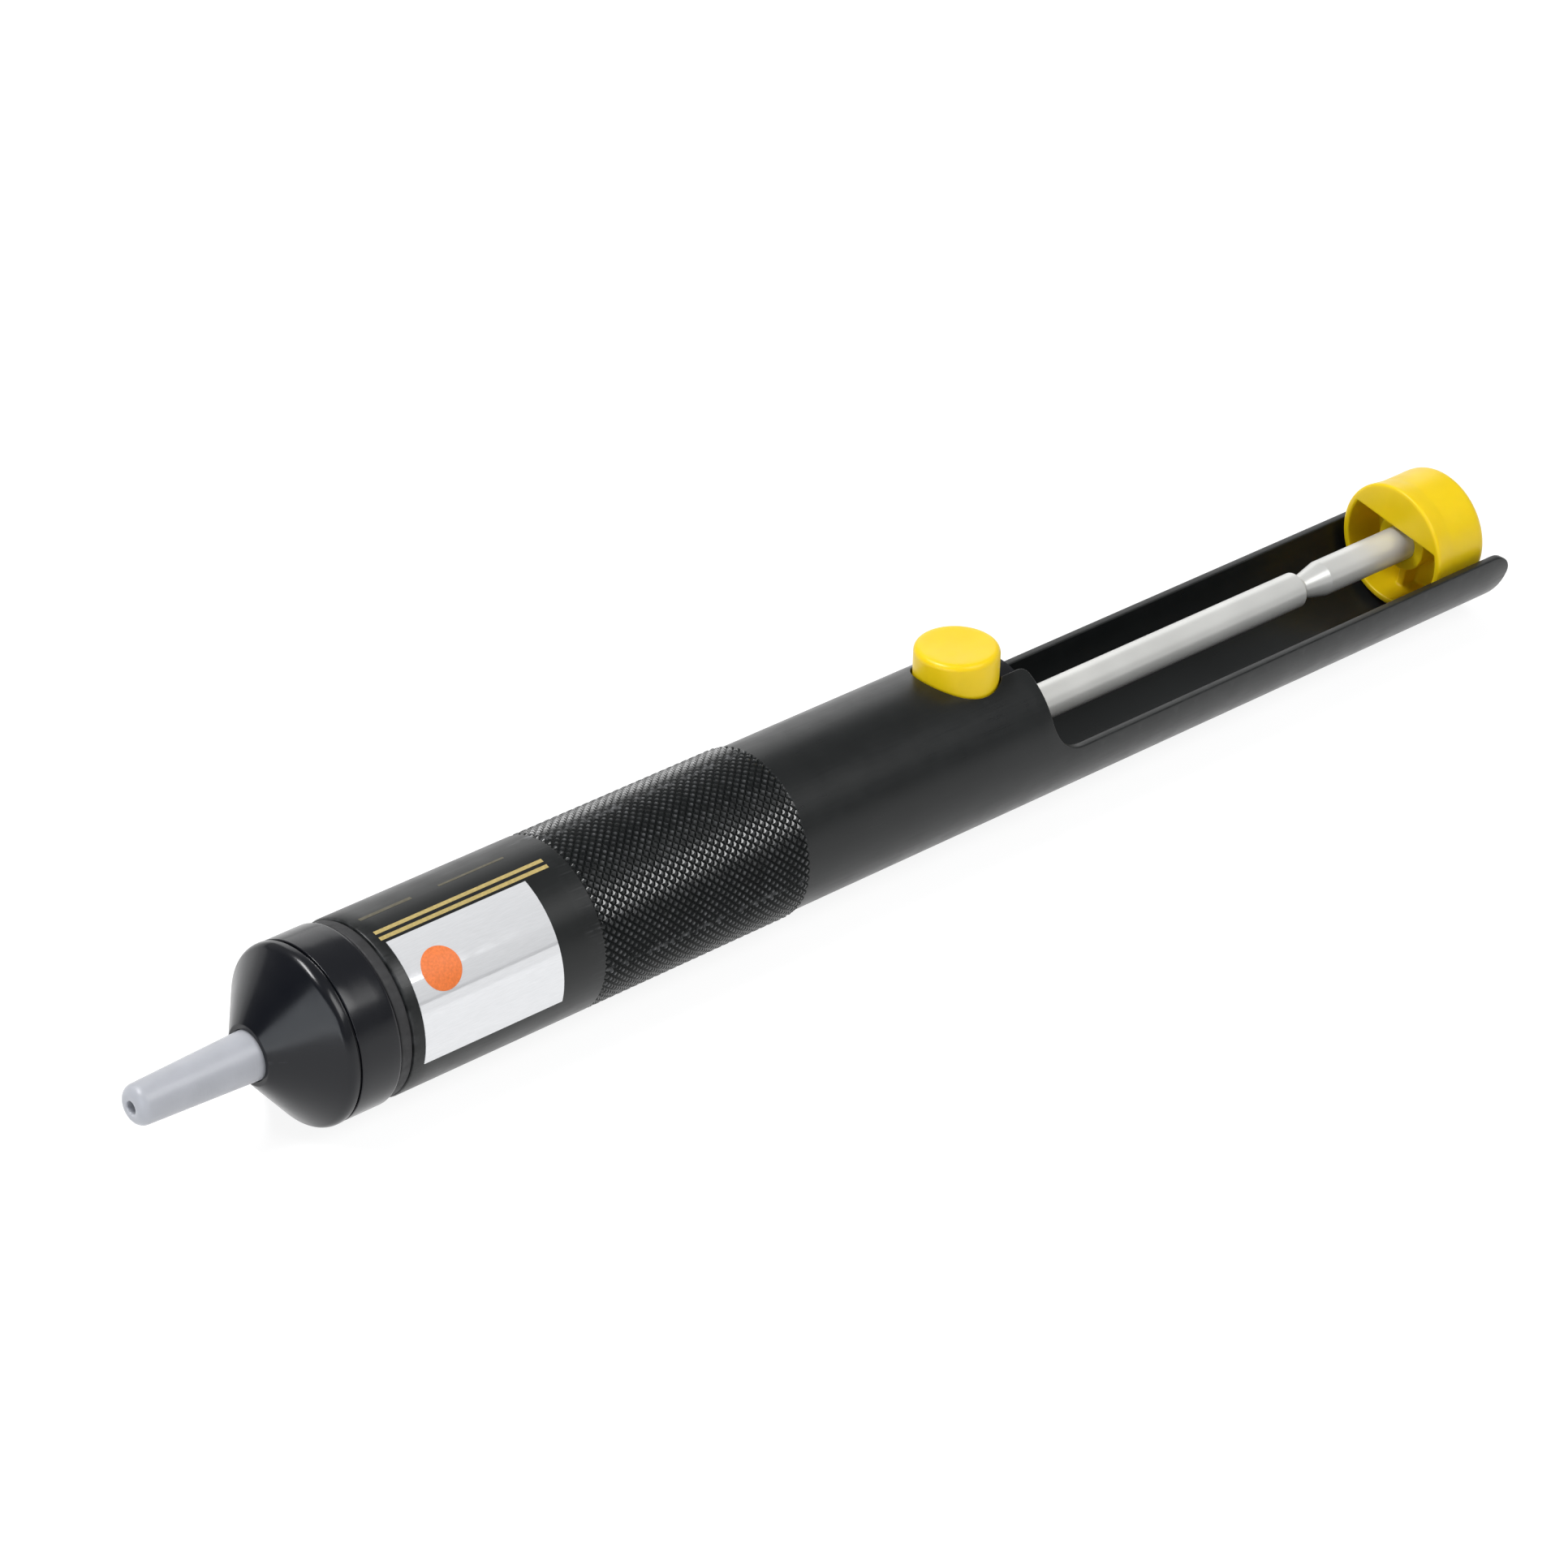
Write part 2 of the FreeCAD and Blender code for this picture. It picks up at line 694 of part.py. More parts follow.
def make_latch_plate():
    front = "button_station - plate_thick / 2"
    back = "button_station + plate_thick / 2"
    blade = box("plate_blade", (front, "-plate_half_width", "plate_bottom"),
                (back, "plate_half_width", "button_bottom"))
    tab = box("plate_tab", (front, "-tab_half_width", "button_bottom"),
              (back, "tab_half_width", "button_bottom + tab_height"))
    whole = doc.addObject("Part::Fuse", "plate_whole")
    whole.Base = blade
    whole.Tool = tab
    low_arc = cylinder("plate_low_arc", "plate_hole", "plate_thick", front)
    high_arc = cylinder("plate_high_arc", "plate_hole", "plate_thick", front, z="plate_hole_rise")
    window = box("plate_window", (front, "-plate_hole", "0"), (back, "plate_hole", "plate_hole_rise"))
    return cut("latch_plate", whole, low_arc, high_arc, window)


def make_latch_spring():
    height = "(plate_bottom - latch_spring_floor)"
    body = coil("latch_spring", "latch_spring_radius", "latch_spring_wire", height,
                "latch_spring_turns", "XZ_Plane", "V_Axis")
    return place(body, "button_station", z="latch_spring_floor + latch_spring_wire")


def make_release_button():
    body = new_body("release_button")
    height = "button_top - button_bottom"
    section = rectangle(body, "button_section", ("0", "0"), ("button_radius", height), "XZ_Plane")
    revolve(body, "button_turned", section, "V_Axis")
    round_edges(body, "button_rim", "button_round", ring_at(height, "button_radius", "z"))
    half_thick = "plate_thick / 2"
    seat = rectangle(body, "tab_seat_section", (f"-{half_thick}", "-tab_half_width"),
                     (half_thick, "tab_half_width"), "XY_Plane")
    pocket(body, "tab_seat", seat, "tab_height")
    return place(body, "button_station", z="button_bottom")


PIECES = [
    make_nozzle(),
    make_nozzle_o_ring(),
    make_front_cap(),
    make_cap_o_ring(),
    make_cap_gasket(),
    make_spring_seat(),
    make_barrel_tube(),
    make_label(),
    make_main_spring(),
    make_piston(),
    make_piston_o_ring(),
    make_piston_washer(),
    make_lock_nut(),
    make_plunger_rod(),
    make_cleaning_pin(),
    make_thumb_knob(),
    make_rubber_bumper(),
    make_rod_guide(),
    make_guide_screw(),
    make_latch_plate(),
    make_latch_spring(),
    make_release_button(),
]
doc.recompute()

for item in doc.Objects:
    if "Invalid" in item.State or "Error" in item.State:
        raise SystemExit(f"{item.Name} failed: {item.State}")
for piece in PIECES:
    if piece.Shape.isNull() or not piece.Shape.isValid() or len(piece.Shape.Solids) != 1:
        raise SystemExit(f"{piece.Label} is not one valid solid")
for piece in PIECES:
    piece.Shape.exportStep(f"parts/{piece.Label}.step")
    low_x, high_x = piece.Shape.BoundBox.XMin, piece.Shape.BoundBox.XMax
    print(f"{piece.Label}: x {low_x:.2f} to {high_x:.2f}, volume {piece.Shape.Volume:.1f} mm3")
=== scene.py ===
"""Looks of the desoldering pump: lathed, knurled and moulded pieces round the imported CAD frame.

Lengths are millimetres in this script and become metres as each mesh is made. The pump lies along
X with its nozzle's mouth at the origin, and an angle about X is measured from +Z towards -Y.
"""

import json
from math import acos, asin, ceil, cos, hypot, pi, radians, sin, sqrt, tan

import bmesh
import bpy
from mathutils import Matrix, Vector
from mathutils.geometry import delaunay_2d_cdt


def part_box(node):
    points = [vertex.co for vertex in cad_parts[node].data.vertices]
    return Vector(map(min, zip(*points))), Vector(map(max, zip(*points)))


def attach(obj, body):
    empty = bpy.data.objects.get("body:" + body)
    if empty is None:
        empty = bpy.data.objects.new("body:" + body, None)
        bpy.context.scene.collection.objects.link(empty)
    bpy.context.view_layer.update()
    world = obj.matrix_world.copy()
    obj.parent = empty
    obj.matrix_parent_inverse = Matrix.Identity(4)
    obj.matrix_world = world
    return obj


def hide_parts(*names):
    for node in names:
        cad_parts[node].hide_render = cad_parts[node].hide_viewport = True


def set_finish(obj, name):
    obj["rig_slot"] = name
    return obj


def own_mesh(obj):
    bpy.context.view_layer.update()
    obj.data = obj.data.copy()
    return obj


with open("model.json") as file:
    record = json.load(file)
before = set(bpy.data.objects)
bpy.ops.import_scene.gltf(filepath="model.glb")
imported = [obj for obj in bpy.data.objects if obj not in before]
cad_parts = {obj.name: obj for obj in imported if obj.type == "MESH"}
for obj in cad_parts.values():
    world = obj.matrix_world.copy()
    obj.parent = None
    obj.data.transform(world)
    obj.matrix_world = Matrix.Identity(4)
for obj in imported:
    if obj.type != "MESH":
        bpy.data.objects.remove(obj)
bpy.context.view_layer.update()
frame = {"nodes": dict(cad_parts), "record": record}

MM = 0.001
FULL_TURN = 2 * pi


def span(node, axis=0):
    """Where a CAD node starts and ends along an axis, in millimetres."""
    low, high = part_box(node)
    return low[axis] / MM, high[axis] / MM


# Stations read from the frame.
NOZZLE_BACK = span("nozzle")[1]
CAP_FRONT, CAP_BACK = span("front_cap")
GASKET_FRONT, TUBE_FRONT = span("cap_gasket")
TUBE_BACK = span("barrel_tube")[1]
FRONT_RADIUS = span("barrel_tube", 1)[1]
LABEL_FRONT, LABEL_BACK = span("label")
SEAT_FRONT, SEAT_BACK = span("spring_seat")
PISTON_FRONT, PISTON_BACK = span("piston")
ROD_FRONT, ROD_BACK = span("plunger_rod")
PIN_FRONT = span("cleaning_pin")[0]
PIN_RADIUS = span("cleaning_pin", 2)[1]
KNOB_FRONT, KNOB_BACK = span("thumb_knob")
BUMPER_FRONT, BUMPER_BACK = span("rubber_bumper")
PLATE_FRONT, PLATE_BACK = span("latch_plate")
BUTTON_X = (PLATE_FRONT + PLATE_BACK) / 2
BUTTON_BOTTOM, BUTTON_TOP = span("release_button", 2)

# Radii that more than one piece shares and that the frame's boxes don't give.
TUBE_RADIUS, BORE_RADIUS = 10.0, 9.0
SPIGOT_RADIUS = 8.95
ROD_RADIUS = 2.2

# The knurl's ends, its diamonds and its depth. A diamond's tip is flat above KNURL_FLAT of a
# groove's height, and within KNURL_RELIEF of either end the skin is at least KNURL_STEP deep.
KNURL_FRONT, KNURL_BACK = TUBE_FRONT + 26.4, TUBE_FRONT + 56.2
KNURLS_ROUND, KNURLS_ALONG, KNURL_STEPS = 60, 27, 6
KNURL_DEPTH, KNURL_FLAT = 0.28, 2 / 3
KNURL_RELIEF, KNURL_STEP = 0.38, 0.13
KNURL_LEAD, KNURL_SLOPE = 0.03, 0.12


# Meshes -----------------------------------------------------------------------


def add_object(name, data):
    """A new object in the scene for a mesh, a light or a camera."""
    thing = bpy.data.objects.new(name, data)
    bpy.context.scene.collection.objects.link(thing)
    return thing


def finish_mesh(name, mesh, body, slot, *nodes, sharp=35.0):
    """Turn a bmesh in millimetres into a smooth-shaded piece that rides on a body."""
    bmesh.ops.remove_doubles(mesh, verts=mesh.verts, dist=1e-4)
    bmesh.ops.recalc_face_normals(mesh, faces=mesh.faces)
    bmesh.ops.scale(mesh, vec=(MM, MM, MM), verts=mesh.verts)
    data = bpy.data.meshes.new(name)
    mesh.to_mesh(data)
    mesh.free()
    data.shade_smooth()
    data.set_sharp_from_angle(angle=radians(sharp))
    piece = add_object(name, data)
    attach(piece, body)
    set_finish(piece, slot)
    if nodes:
        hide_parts(*nodes)
    return piece


def rounded(points, radii, steps=5):
    """A polyline with its corners rounded: radii maps a corner's index to its radius."""
    path = []
    for index, point in enumerate(points):
        radius = radii.get(index, 0)
        if not radius:
            path.append(point)
            continue
        corner = Vector(point)
        before = (Vector(points[index - 1]) - corner).normalized()
        after = (Vector(points[(index + 1) % len(points)]) - corner).normalized()
        half = before.angle(after) / 2
        centre = corner + (before + after).normalized() * radius / sin(half)
        start = corner + before * radius / tan(half) - centre
        end = corner + after * radius / tan(half) - centre
        sweep = start.angle_signed(end)
        for step in range(steps + 1):
            spoke = start.copy()
            spoke.rotate(Matrix.Rotation(-sweep * step / steps, 2))
            path.append(tuple(centre + spoke))
    return path


def ring_points(station, radius, count, axis="x", centre=(0, 0, 0)):
    """Points round a circle about X or Z; radius may be a function of the angle."""
    points = []
    for index in range(count):
        angle = FULL_TURN * index / count
        reach = radius(angle) if callable(radius) else radius
        across, up = -reach * sin(angle), reach * cos(angle)
        local = (station, across, up) if axis == "x" else (up, across, station)
        points.append(tuple(a + b for a, b in zip(local, centre)))
    return points


def bridge(mesh, rings, closed=True):
    """Quads between rings of vertices, each ring a closed loop."""
    pairs = list(zip(rings, rings[1:]))
    if closed:
        pairs.append((rings[-1], rings[0]))
    for ring, following in pairs:
        count = len(ring)
        for index in range(count):
            after = (index + 1) % count
            mesh.faces.new((ring[index], ring[after], following[after], following[index]))


def lathe(mesh, section, count=128, axis="x", centre=(0, 0, 0), closed=True):
    """Turn a closed section of (station, radius) points; a zero radius makes a solid end."""
    rings = []
    for station, radius in section:
        if not callable(radius) and radius < 1e-6:
            point = (station, 0, 0) if axis == "x" else (0, 0, station)
            tip = mesh.verts.new(tuple(a + b for a, b in zip(point, centre)))
            rings.append([tip] * count)
            continue
        spots = ring_points(station, radius, count, axis, centre)
        rings.append([mesh.verts.new(spot) for spot in spots])
    pairs = list(zip(rings, rings[1:]))
    if closed:
        pairs.append((rings[-1], rings[0]))
    for ring, following in pairs:
        for index in range(count):
            after = (index + 1) % count
            corners = []
            for vertex in (ring[index], ring[after], following[after], following[index]):
                if vertex not in corners:
                    corners.append(vertex)
            if len(corners) > 2:
                mesh.faces.new(corners)


def divided(section, longest=1.5):
    """A closed section with its long runs cut up, so that no face is a long sliver."""
    points = []
    for (x, radius), (x2, radius2) in zip(section, section[1:] + section[:1]):
        points.append((x, radius))
        if callable(radius) or callable(radius2) or radius == radius2 == 0:
            continue
        pieces = ceil(hypot(x2 - x, radius2 - radius) / longest)
        for step in range(1, pieces):
            share = step / pieces
            points.append((x + (x2 - x) * share, radius + (radius2 - radius) * share))
    return points


def turned(name, section, body, slot, *nodes, count=128, **options):
    mesh = bmesh.new()
    lathe(mesh, divided(section), count)
    return finish_mesh(name, mesh, body, slot, *nodes, **options)


def ring_section(x, radius, thick, steps=20):
    """A round O-ring section for the lathe."""
    section = []
    for step in range(steps):
        angle = FULL_TURN * step / steps
        section.append((x + thick * cos(angle), radius + thick * sin(angle)))
    return section


def tube_along(mesh, path, radius, sides=12):
    """A closed round wire along a list of points."""
    rings = []
    side = None
    for index, point in enumerate(path):
        before = path[max(index - 1, 0)]
        after = path[min(index + 1, len(path) - 1)]
        along = (after - before).normalized()
        if side is None:
            side = along.orthogonal()
        side = (side - along * side.dot(along)).normalized()
        other = along.cross(side)
        ring = []
        for step in range(sides):
            angle = FULL_TURN * step / sides
            ring.append(mesh.verts.new(point + radius * (cos(angle) * side + sin(angle) * other)))
        rings.append(ring)
    bridge(mesh, rings, closed=False)
    mesh.faces.new(rings[0])
    mesh.faces.new(rings[-1])


def spring_path(start, end, radius, wire, turns, axis, steps=28):
    """A compression spring's centreline: one closed turn at each end and open turns between."""
    closed_rise = 2 * wire * 1.02
    low, high = start + wire, end - wire
    total = turns + 2
    path = []
    for step in range(int(total * steps) + 1):
        turn = step / steps
        if turn < 1:
            along = low + closed_rise * turn
        elif turn > total - 1:
            along = high - closed_rise * (total - turn)
        else:
            share = (turn - 1) / turns
            along = low + closed_rise + (high - low - 2 * closed_rise) * share
        angle = FULL_TURN * turn
        across, up = radius * sin(angle), radius * cos(angle)
        path.append(Vector((along, across, up) if axis == "x" else (up, across, along)))
    return path


# Materials --------------------------------------------------------------------

class Material:
    """A node tree built in object coordinates, whose unit is a metre."""

    def __init__(self, name, color, roughness, **sockets):
        self.material = bpy.data.materials.new(name)
        self.material.use_nodes = True
        self.tree = self.material.node_tree
        self.shader = self.tree.nodes["Principled BSDF"]
        self.shader.inputs["Base Color"].default_value = (*color, 1)
        self.shader.inputs["Roughness"].default_value = roughness
        for socket, value in sockets.items():
            self.shader.inputs[socket.replace("_", " ")].default_value = value
        self.place = self.node("ShaderNodeTexCoord").outputs["Object"]

    def node(self, kind, **settings):
        node = self.tree.nodes.new(kind)
        for name, value in settings.items():
            setattr(node, name, value)
        return node

    def link(self, source, target):
        self.tree.links.new(source, target)

    def along(self):
        """The distance along the pump's axis."""
        split = self.node("ShaderNodeSeparateXYZ")
        self.link(self.place, split.inputs["Vector"])
        return split.outputs["X"]

    def stretched(self, scale):
        """Object coordinates scaled by a factor along each axis."""
        mapping = self.node("ShaderNodeMapping")
        mapping.inputs["Scale"].default_value = scale
        self.link(self.place, mapping.inputs["Vector"])
        return mapping.outputs["Vector"]

    def noise(self, size, detail=4.0, scale=(1, 1, 1)):
        """Noise whose features are about size millimetres across."""
        noise = self.node("ShaderNodeTexNoise")
        noise.inputs["Scale"].default_value = 1 / (size * MM)
        noise.inputs["Detail"].default_value = detail
        self.link(self.stretched(scale), noise.inputs["Vector"])
        return noise.outputs["Fac"]

    def math(self, operation, first, second=0.5, third=0.5):
        node = self.node("ShaderNodeMath", operation=operation)
        for index, value in enumerate((first, second, third)):
            if isinstance(value, (int, float)):
                node.inputs[index].default_value = value
            else:
                self.link(value, node.inputs[index])
        return node.outputs[0]

    def ranged(self, value, low, high, start=0.3, end=0.7):
        """A value remapped from start..end to low..high."""
        node = self.node("ShaderNodeMapRange")
        node.inputs["From Min"].default_value = start
        node.inputs["From Max"].default_value = end
        node.inputs["To Min"].default_value = low
        node.inputs["To Max"].default_value = high
        self.link(value, node.inputs["Value"])
        return node.outputs["Result"]

    def mix(self, share, first, second):
        node = self.node("ShaderNodeMix", data_type="RGBA")
        for index, color in ((6, first), (7, second)):
            if isinstance(color, tuple):
                node.inputs[index].default_value = (*color, 1)
            else:
                self.link(color, node.inputs[index])
        self.link(share, node.inputs[0])
        return node.outputs[2]

    def paint(self, color):
        self.link(color, self.shader.inputs["Base Color"])

    def rough(self, value):
        self.link(value, self.shader.inputs["Roughness"])

    def bump(self, *layers):
        """Bumps from (height value, depth in millimetres) layers."""
        normal = None
        for height, depth in layers:
            node = self.node("ShaderNodeBump")
            node.inputs["Distance"].default_value = depth * MM
            self.link(height, node.inputs["Height"])
            if normal is not None:
                self.link(normal, node.inputs["Normal"])
            normal = node.outputs["Normal"]
        self.link(normal, self.shader.inputs["Normal"])

    def edge_wear(self, low=0.52, high=0.6):
        """From 0 on flats to 1 on worn outer edges, broken up by noise."""
        pointed = self.node("ShaderNodeNewGeometry").outputs["Pointiness"]
        worn = self.ranged(pointed, 0.0, 1.0, low, high)
        patches = self.ranged(self.noise(1.2, 3.0), 0.0, 1.0, 0.4, 0.65)
        return self.math("MULTIPLY", worn, patches)


def shade(color, factor):
    return tuple(channel * factor for channel in color)


def nozzle_plastic():
    """Fluoropolymer: milky and slightly waxy, with faint turning lines."""
    color = (0.355, 0.363, 0.392)
    m = Material("nozzle_plastic", color, 0.36, Subsurface_Weight=0.6, Subsurface_Scale=0.0016)
    m.shader.inputs["Subsurface Radius"].default_value = (1.0, 1.0, 1.0)
    clouds = m.ranged(m.noise(4.0, 3.0), 0.0, 1.0)
    m.paint(m.mix(clouds, shade(color, 0.94), shade(color, 1.05)))
    m.rough(m.ranged(m.noise(0.9, 5.0), 0.32, 0.42))
    turning = m.noise(0.12, 2.0, scale=(1, 0.02, 0.02))
    m.bump((turning, 0.01), (m.noise(0.5, 4.0), 0.006))
    return m.material


def black_plastic(name="black_plastic", rubbed=True):
    """Glossy moulded nylon with a blue cast, patchy gloss and, on the outside, rubbed edges."""
    color = (0.0052, 0.0058, 0.0080)
    m = Material(name, color, 0.2, IOR=1.5, Specular_IOR_Level=0.34)
    if rubbed:
        m.paint(m.mix(m.edge_wear(0.54, 0.62), color, (0.028, 0.03, 0.036)))
    else:
        clouds = m.ranged(m.noise(2.0, 3.0), 0.0, 1.0)
        m.paint(m.mix(clouds, color, shade(color, 1.6)))
    m.rough(m.ranged(m.noise(2.6, 4.0), 0.17, 0.25))
    return m.material


def black_aluminium():
    """Black anodised aluminium: drawing lines along it, satin gloss and a polished knurl."""
    color, roughness = (0.0068, 0.0078, 0.0080), 0.32
    m = Material("black_aluminium", color, roughness, IOR=1.45, Specular_IOR_Level=0.38)
    middle, half = (KNURL_FRONT + KNURL_BACK) / 2, (KNURL_BACK - KNURL_FRONT) / 2
    knurled = m.math("COMPARE", m.along(), middle * MM, half * MM)
    lines = m.noise(0.16, 3.0, scale=(0.02, 1, 1))
    clouds = m.ranged(m.noise(7.0, 4.0), 0.0, 1.0)
    anodised = m.mix(clouds, shade(color, 0.88), shade(color, 1.14))
    worn = m.edge_wear()
    m.paint(m.mix(worn, anodised, (0.075, 0.077, 0.08)))
    blotches = m.ranged(m.noise(3.0, 5.0), -0.03, 0.04)
    streaks = m.ranged(lines, roughness - 0.03, roughness + 0.04)
    satin = m.math("ADD", blotches, streaks)
    m.rough(m.math("MULTIPLY_ADD", knurled, -0.08, satin))
    m.bump((lines, 0.0015))
    return m.material


def black_rubber():
    color = (0.011, 0.011, 0.012)
    m = Material("black_rubber", color, 0.62)
    dusty = m.ranged(m.noise(1.5, 5.0), 0.0, 1.0)
    m.paint(m.mix(dusty, color, shade(color, 1.9)))
    m.rough(m.ranged(m.noise(0.8, 4.0), 0.55, 0.72))
    m.bump((m.noise(0.12, 3.0), 0.01))
    return m.material


def bright_steel():
    """Satin plated steel, a little cloudy."""
    color = (0.58, 0.58, 0.56)
    m = Material("bright_steel", color, 0.32, Metallic=0.3)
    clouds = m.ranged(m.noise(6.0, 1.0), 0.0, 1.0)
    m.paint(m.mix(clouds, shade(color, 0.94), shade(color, 1.04)))
    return m.material


def brass_nut():
    color = (0.68, 0.47, 0.19)
    m = Material("brass_nut", color, 0.28, Metallic=1.0)
    tarnish = m.ranged(m.noise(1.2, 5.0), 0.0, 1.0)
    m.paint(m.mix(tarnish, color, (0.5, 0.33, 0.13)))
    m.rough(m.ranged(m.noise(0.5, 4.0), 0.22, 0.38))
    m.bump((m.noise(0.08, 2.0, scale=(1, 0.05, 0.05)), 0.004))
    return m.material


def piston_plastic():
    color = (0.58, 0.585, 0.57)
    m = Material("piston_plastic", color, 0.4, Subsurface_Weight=0.2, Subsurface_Scale=0.001)
    grease = m.ranged(m.noise(2.5, 4.0), 0.0, 1.0)
    m.paint(m.mix(grease, shade(color, 0.9), shade(color, 1.05)))
    m.rough(m.ranged(m.noise(1.5, 4.0), 0.3, 0.48))
    m.bump((m.noise(0.12, 2.0, scale=(1, 0.02, 0.02)), 0.006))
    return m.material


def yellow_plastic():
    """Moulded acetal: saturated yellow that glows a little where light gets in."""
    color = (0.71, 0.500, 0.004)
    m = Material("yellow_plastic", color, 0.34, IOR=1.48, Specular_IOR_Level=0.32,
                 Subsurface_Weight=0.25, Subsurface_Scale=0.0015)
    m.shader.inputs["Subsurface Radius"].default_value = (1.0, 0.55, 0.05)
    clouds = m.ranged(m.noise(3.5, 3.0), 0.0, 1.0)
    m.paint(m.mix(clouds, shade(color, 0.97), shade(color, 1.03)))
    m.rough(m.ranged(m.noise(1.6, 4.0), 0.29, 0.41))
    m.bump((m.noise(0.28, 2.0), 0.006), (m.noise(1.6, 2.0), 0.012))
    return m.material


def label_film():
    """Satin silver film with fine brushed grain along the barrel."""
    color = (0.71, 0.715, 0.73)
    m = Material("label_film", color, 0.06, Metallic=0.36, Coat_Weight=0.3, Coat_Roughness=0.03)
    grain = m.noise(0.08, 3.0, scale=(0.05, 1, 1))
    m.paint(m.mix(m.ranged(grain, 0.0, 1.0), shade(color, 0.95), shade(color, 1.04)))
    m.rough(m.ranged(m.noise(1.4, 4.0), 0.05, 0.09))
    m.bump((grain, 0.0004))
    return m.material


def ink(name, color, metallic):
    """Screen-printed ink, slightly uneven in density."""
    m = Material(name, color, 0.42, Metallic=metallic)
    density = m.ranged(m.noise(0.3, 4.0), 0.0, 1.0)
    m.paint(m.mix(density, shade(color, 0.82), shade(color, 1.08)))
    m.rough(m.ranged(m.noise(0.5, 3.0), 0.36, 0.5))
    m.bump((m.noise(0.07, 2.0), 0.002))
    return m.material


MATERIALS = {
    "nozzle_plastic": nozzle_plastic(),
    "black_plastic": black_plastic(),
    "black_aluminium": black_aluminium(),
    "black_rubber": black_rubber(),
    "bright_steel": bright_steel(),
    "brass_nut": brass_nut(),
    "piston_plastic": piston_plastic(),
    "yellow_plastic": yellow_plastic(),
    "label_film": label_film(),
}
INNER_PLASTIC = black_plastic("inner_plastic", rubbed=False)
GOLD_INK = ink("gold_ink", (0.46, 0.355, 0.13), 0.2)
FAINT_INK = ink("faint_ink", (0.085, 0.075, 0.045), 0.3)
ORANGE_INK = ink("orange_ink", (0.69, 0.155, 0.024), 0.0)


def dress(piece, material=None):
    """Give a piece its slot's material, or the one named."""
    piece.data.materials.clear()
    piece.data.materials.append(material or MATERIALS[piece["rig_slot"]])
    return piece


# Barrel -----------------------------------------------------------------------

SPLIT_X = 104.0
TROUGH_X, TROUGH_Z = TUBE_FRONT + 94.45, -0.2
CONCAVE, END_ROUND = 4.5, 3.0
HOLE_RADIUS, NOTCH_Y, NOTCH_ROUND = 5.2, 3.8, 1.0
SCREW_X, SCREW_HOLE = 111.2, 2.3
EDGE_ROUND = 0.16
MOUTH_CHAMFER, BORE_CHAMFER = 0.3, 0.2
SEAM = radians(150)


def groove_heights(x, angle):
    """How far a place is from the middle of the nearest groove of each hand, as 0 to 1."""
    along = (x - KNURL_FRONT) / (KNURL_BACK - KNURL_FRONT) * KNURLS_ALONG
    around = angle / FULL_TURN * KNURLS_ROUND
    return [1 - 2 * abs(phase % 1 - 0.5) for phase in (along + around, along - around)]


def knurl_radius(x, angle):
    """Diamond knurl: two crossing sets of grooves, with the diamonds' tips cut flat."""
    depth = KNURL_DEPTH * (1 - min(min(groove_heights(x, angle)) / KNURL_FLAT, 1.0))
    if min(x - KNURL_FRONT, KNURL_BACK - x) < KNURL_RELIEF:
        depth = max(depth, KNURL_STEP)
    return FRONT_RADIUS - depth


def front_profile():
    """Plain (x, radius) stations of the outer skin, from its rounded mouth to the knurl."""
    middle = 0.3 * MOUTH_CHAMFER
    profile = [(TUBE_FRONT, FRONT_RADIUS - MOUTH_CHAMFER), (TUBE_FRONT + middle, FRONT_RADIUS - middle)]
    start = TUBE_FRONT + MOUTH_CHAMFER
    steps = 12
    for step in range(steps + 1):
        profile.append((start + (KNURL_FRONT - start) * step / steps, FRONT_RADIUS))
    return profile


def wrap(x, angle, radius):
    return (x, -radius * sin(angle), radius * cos(angle))


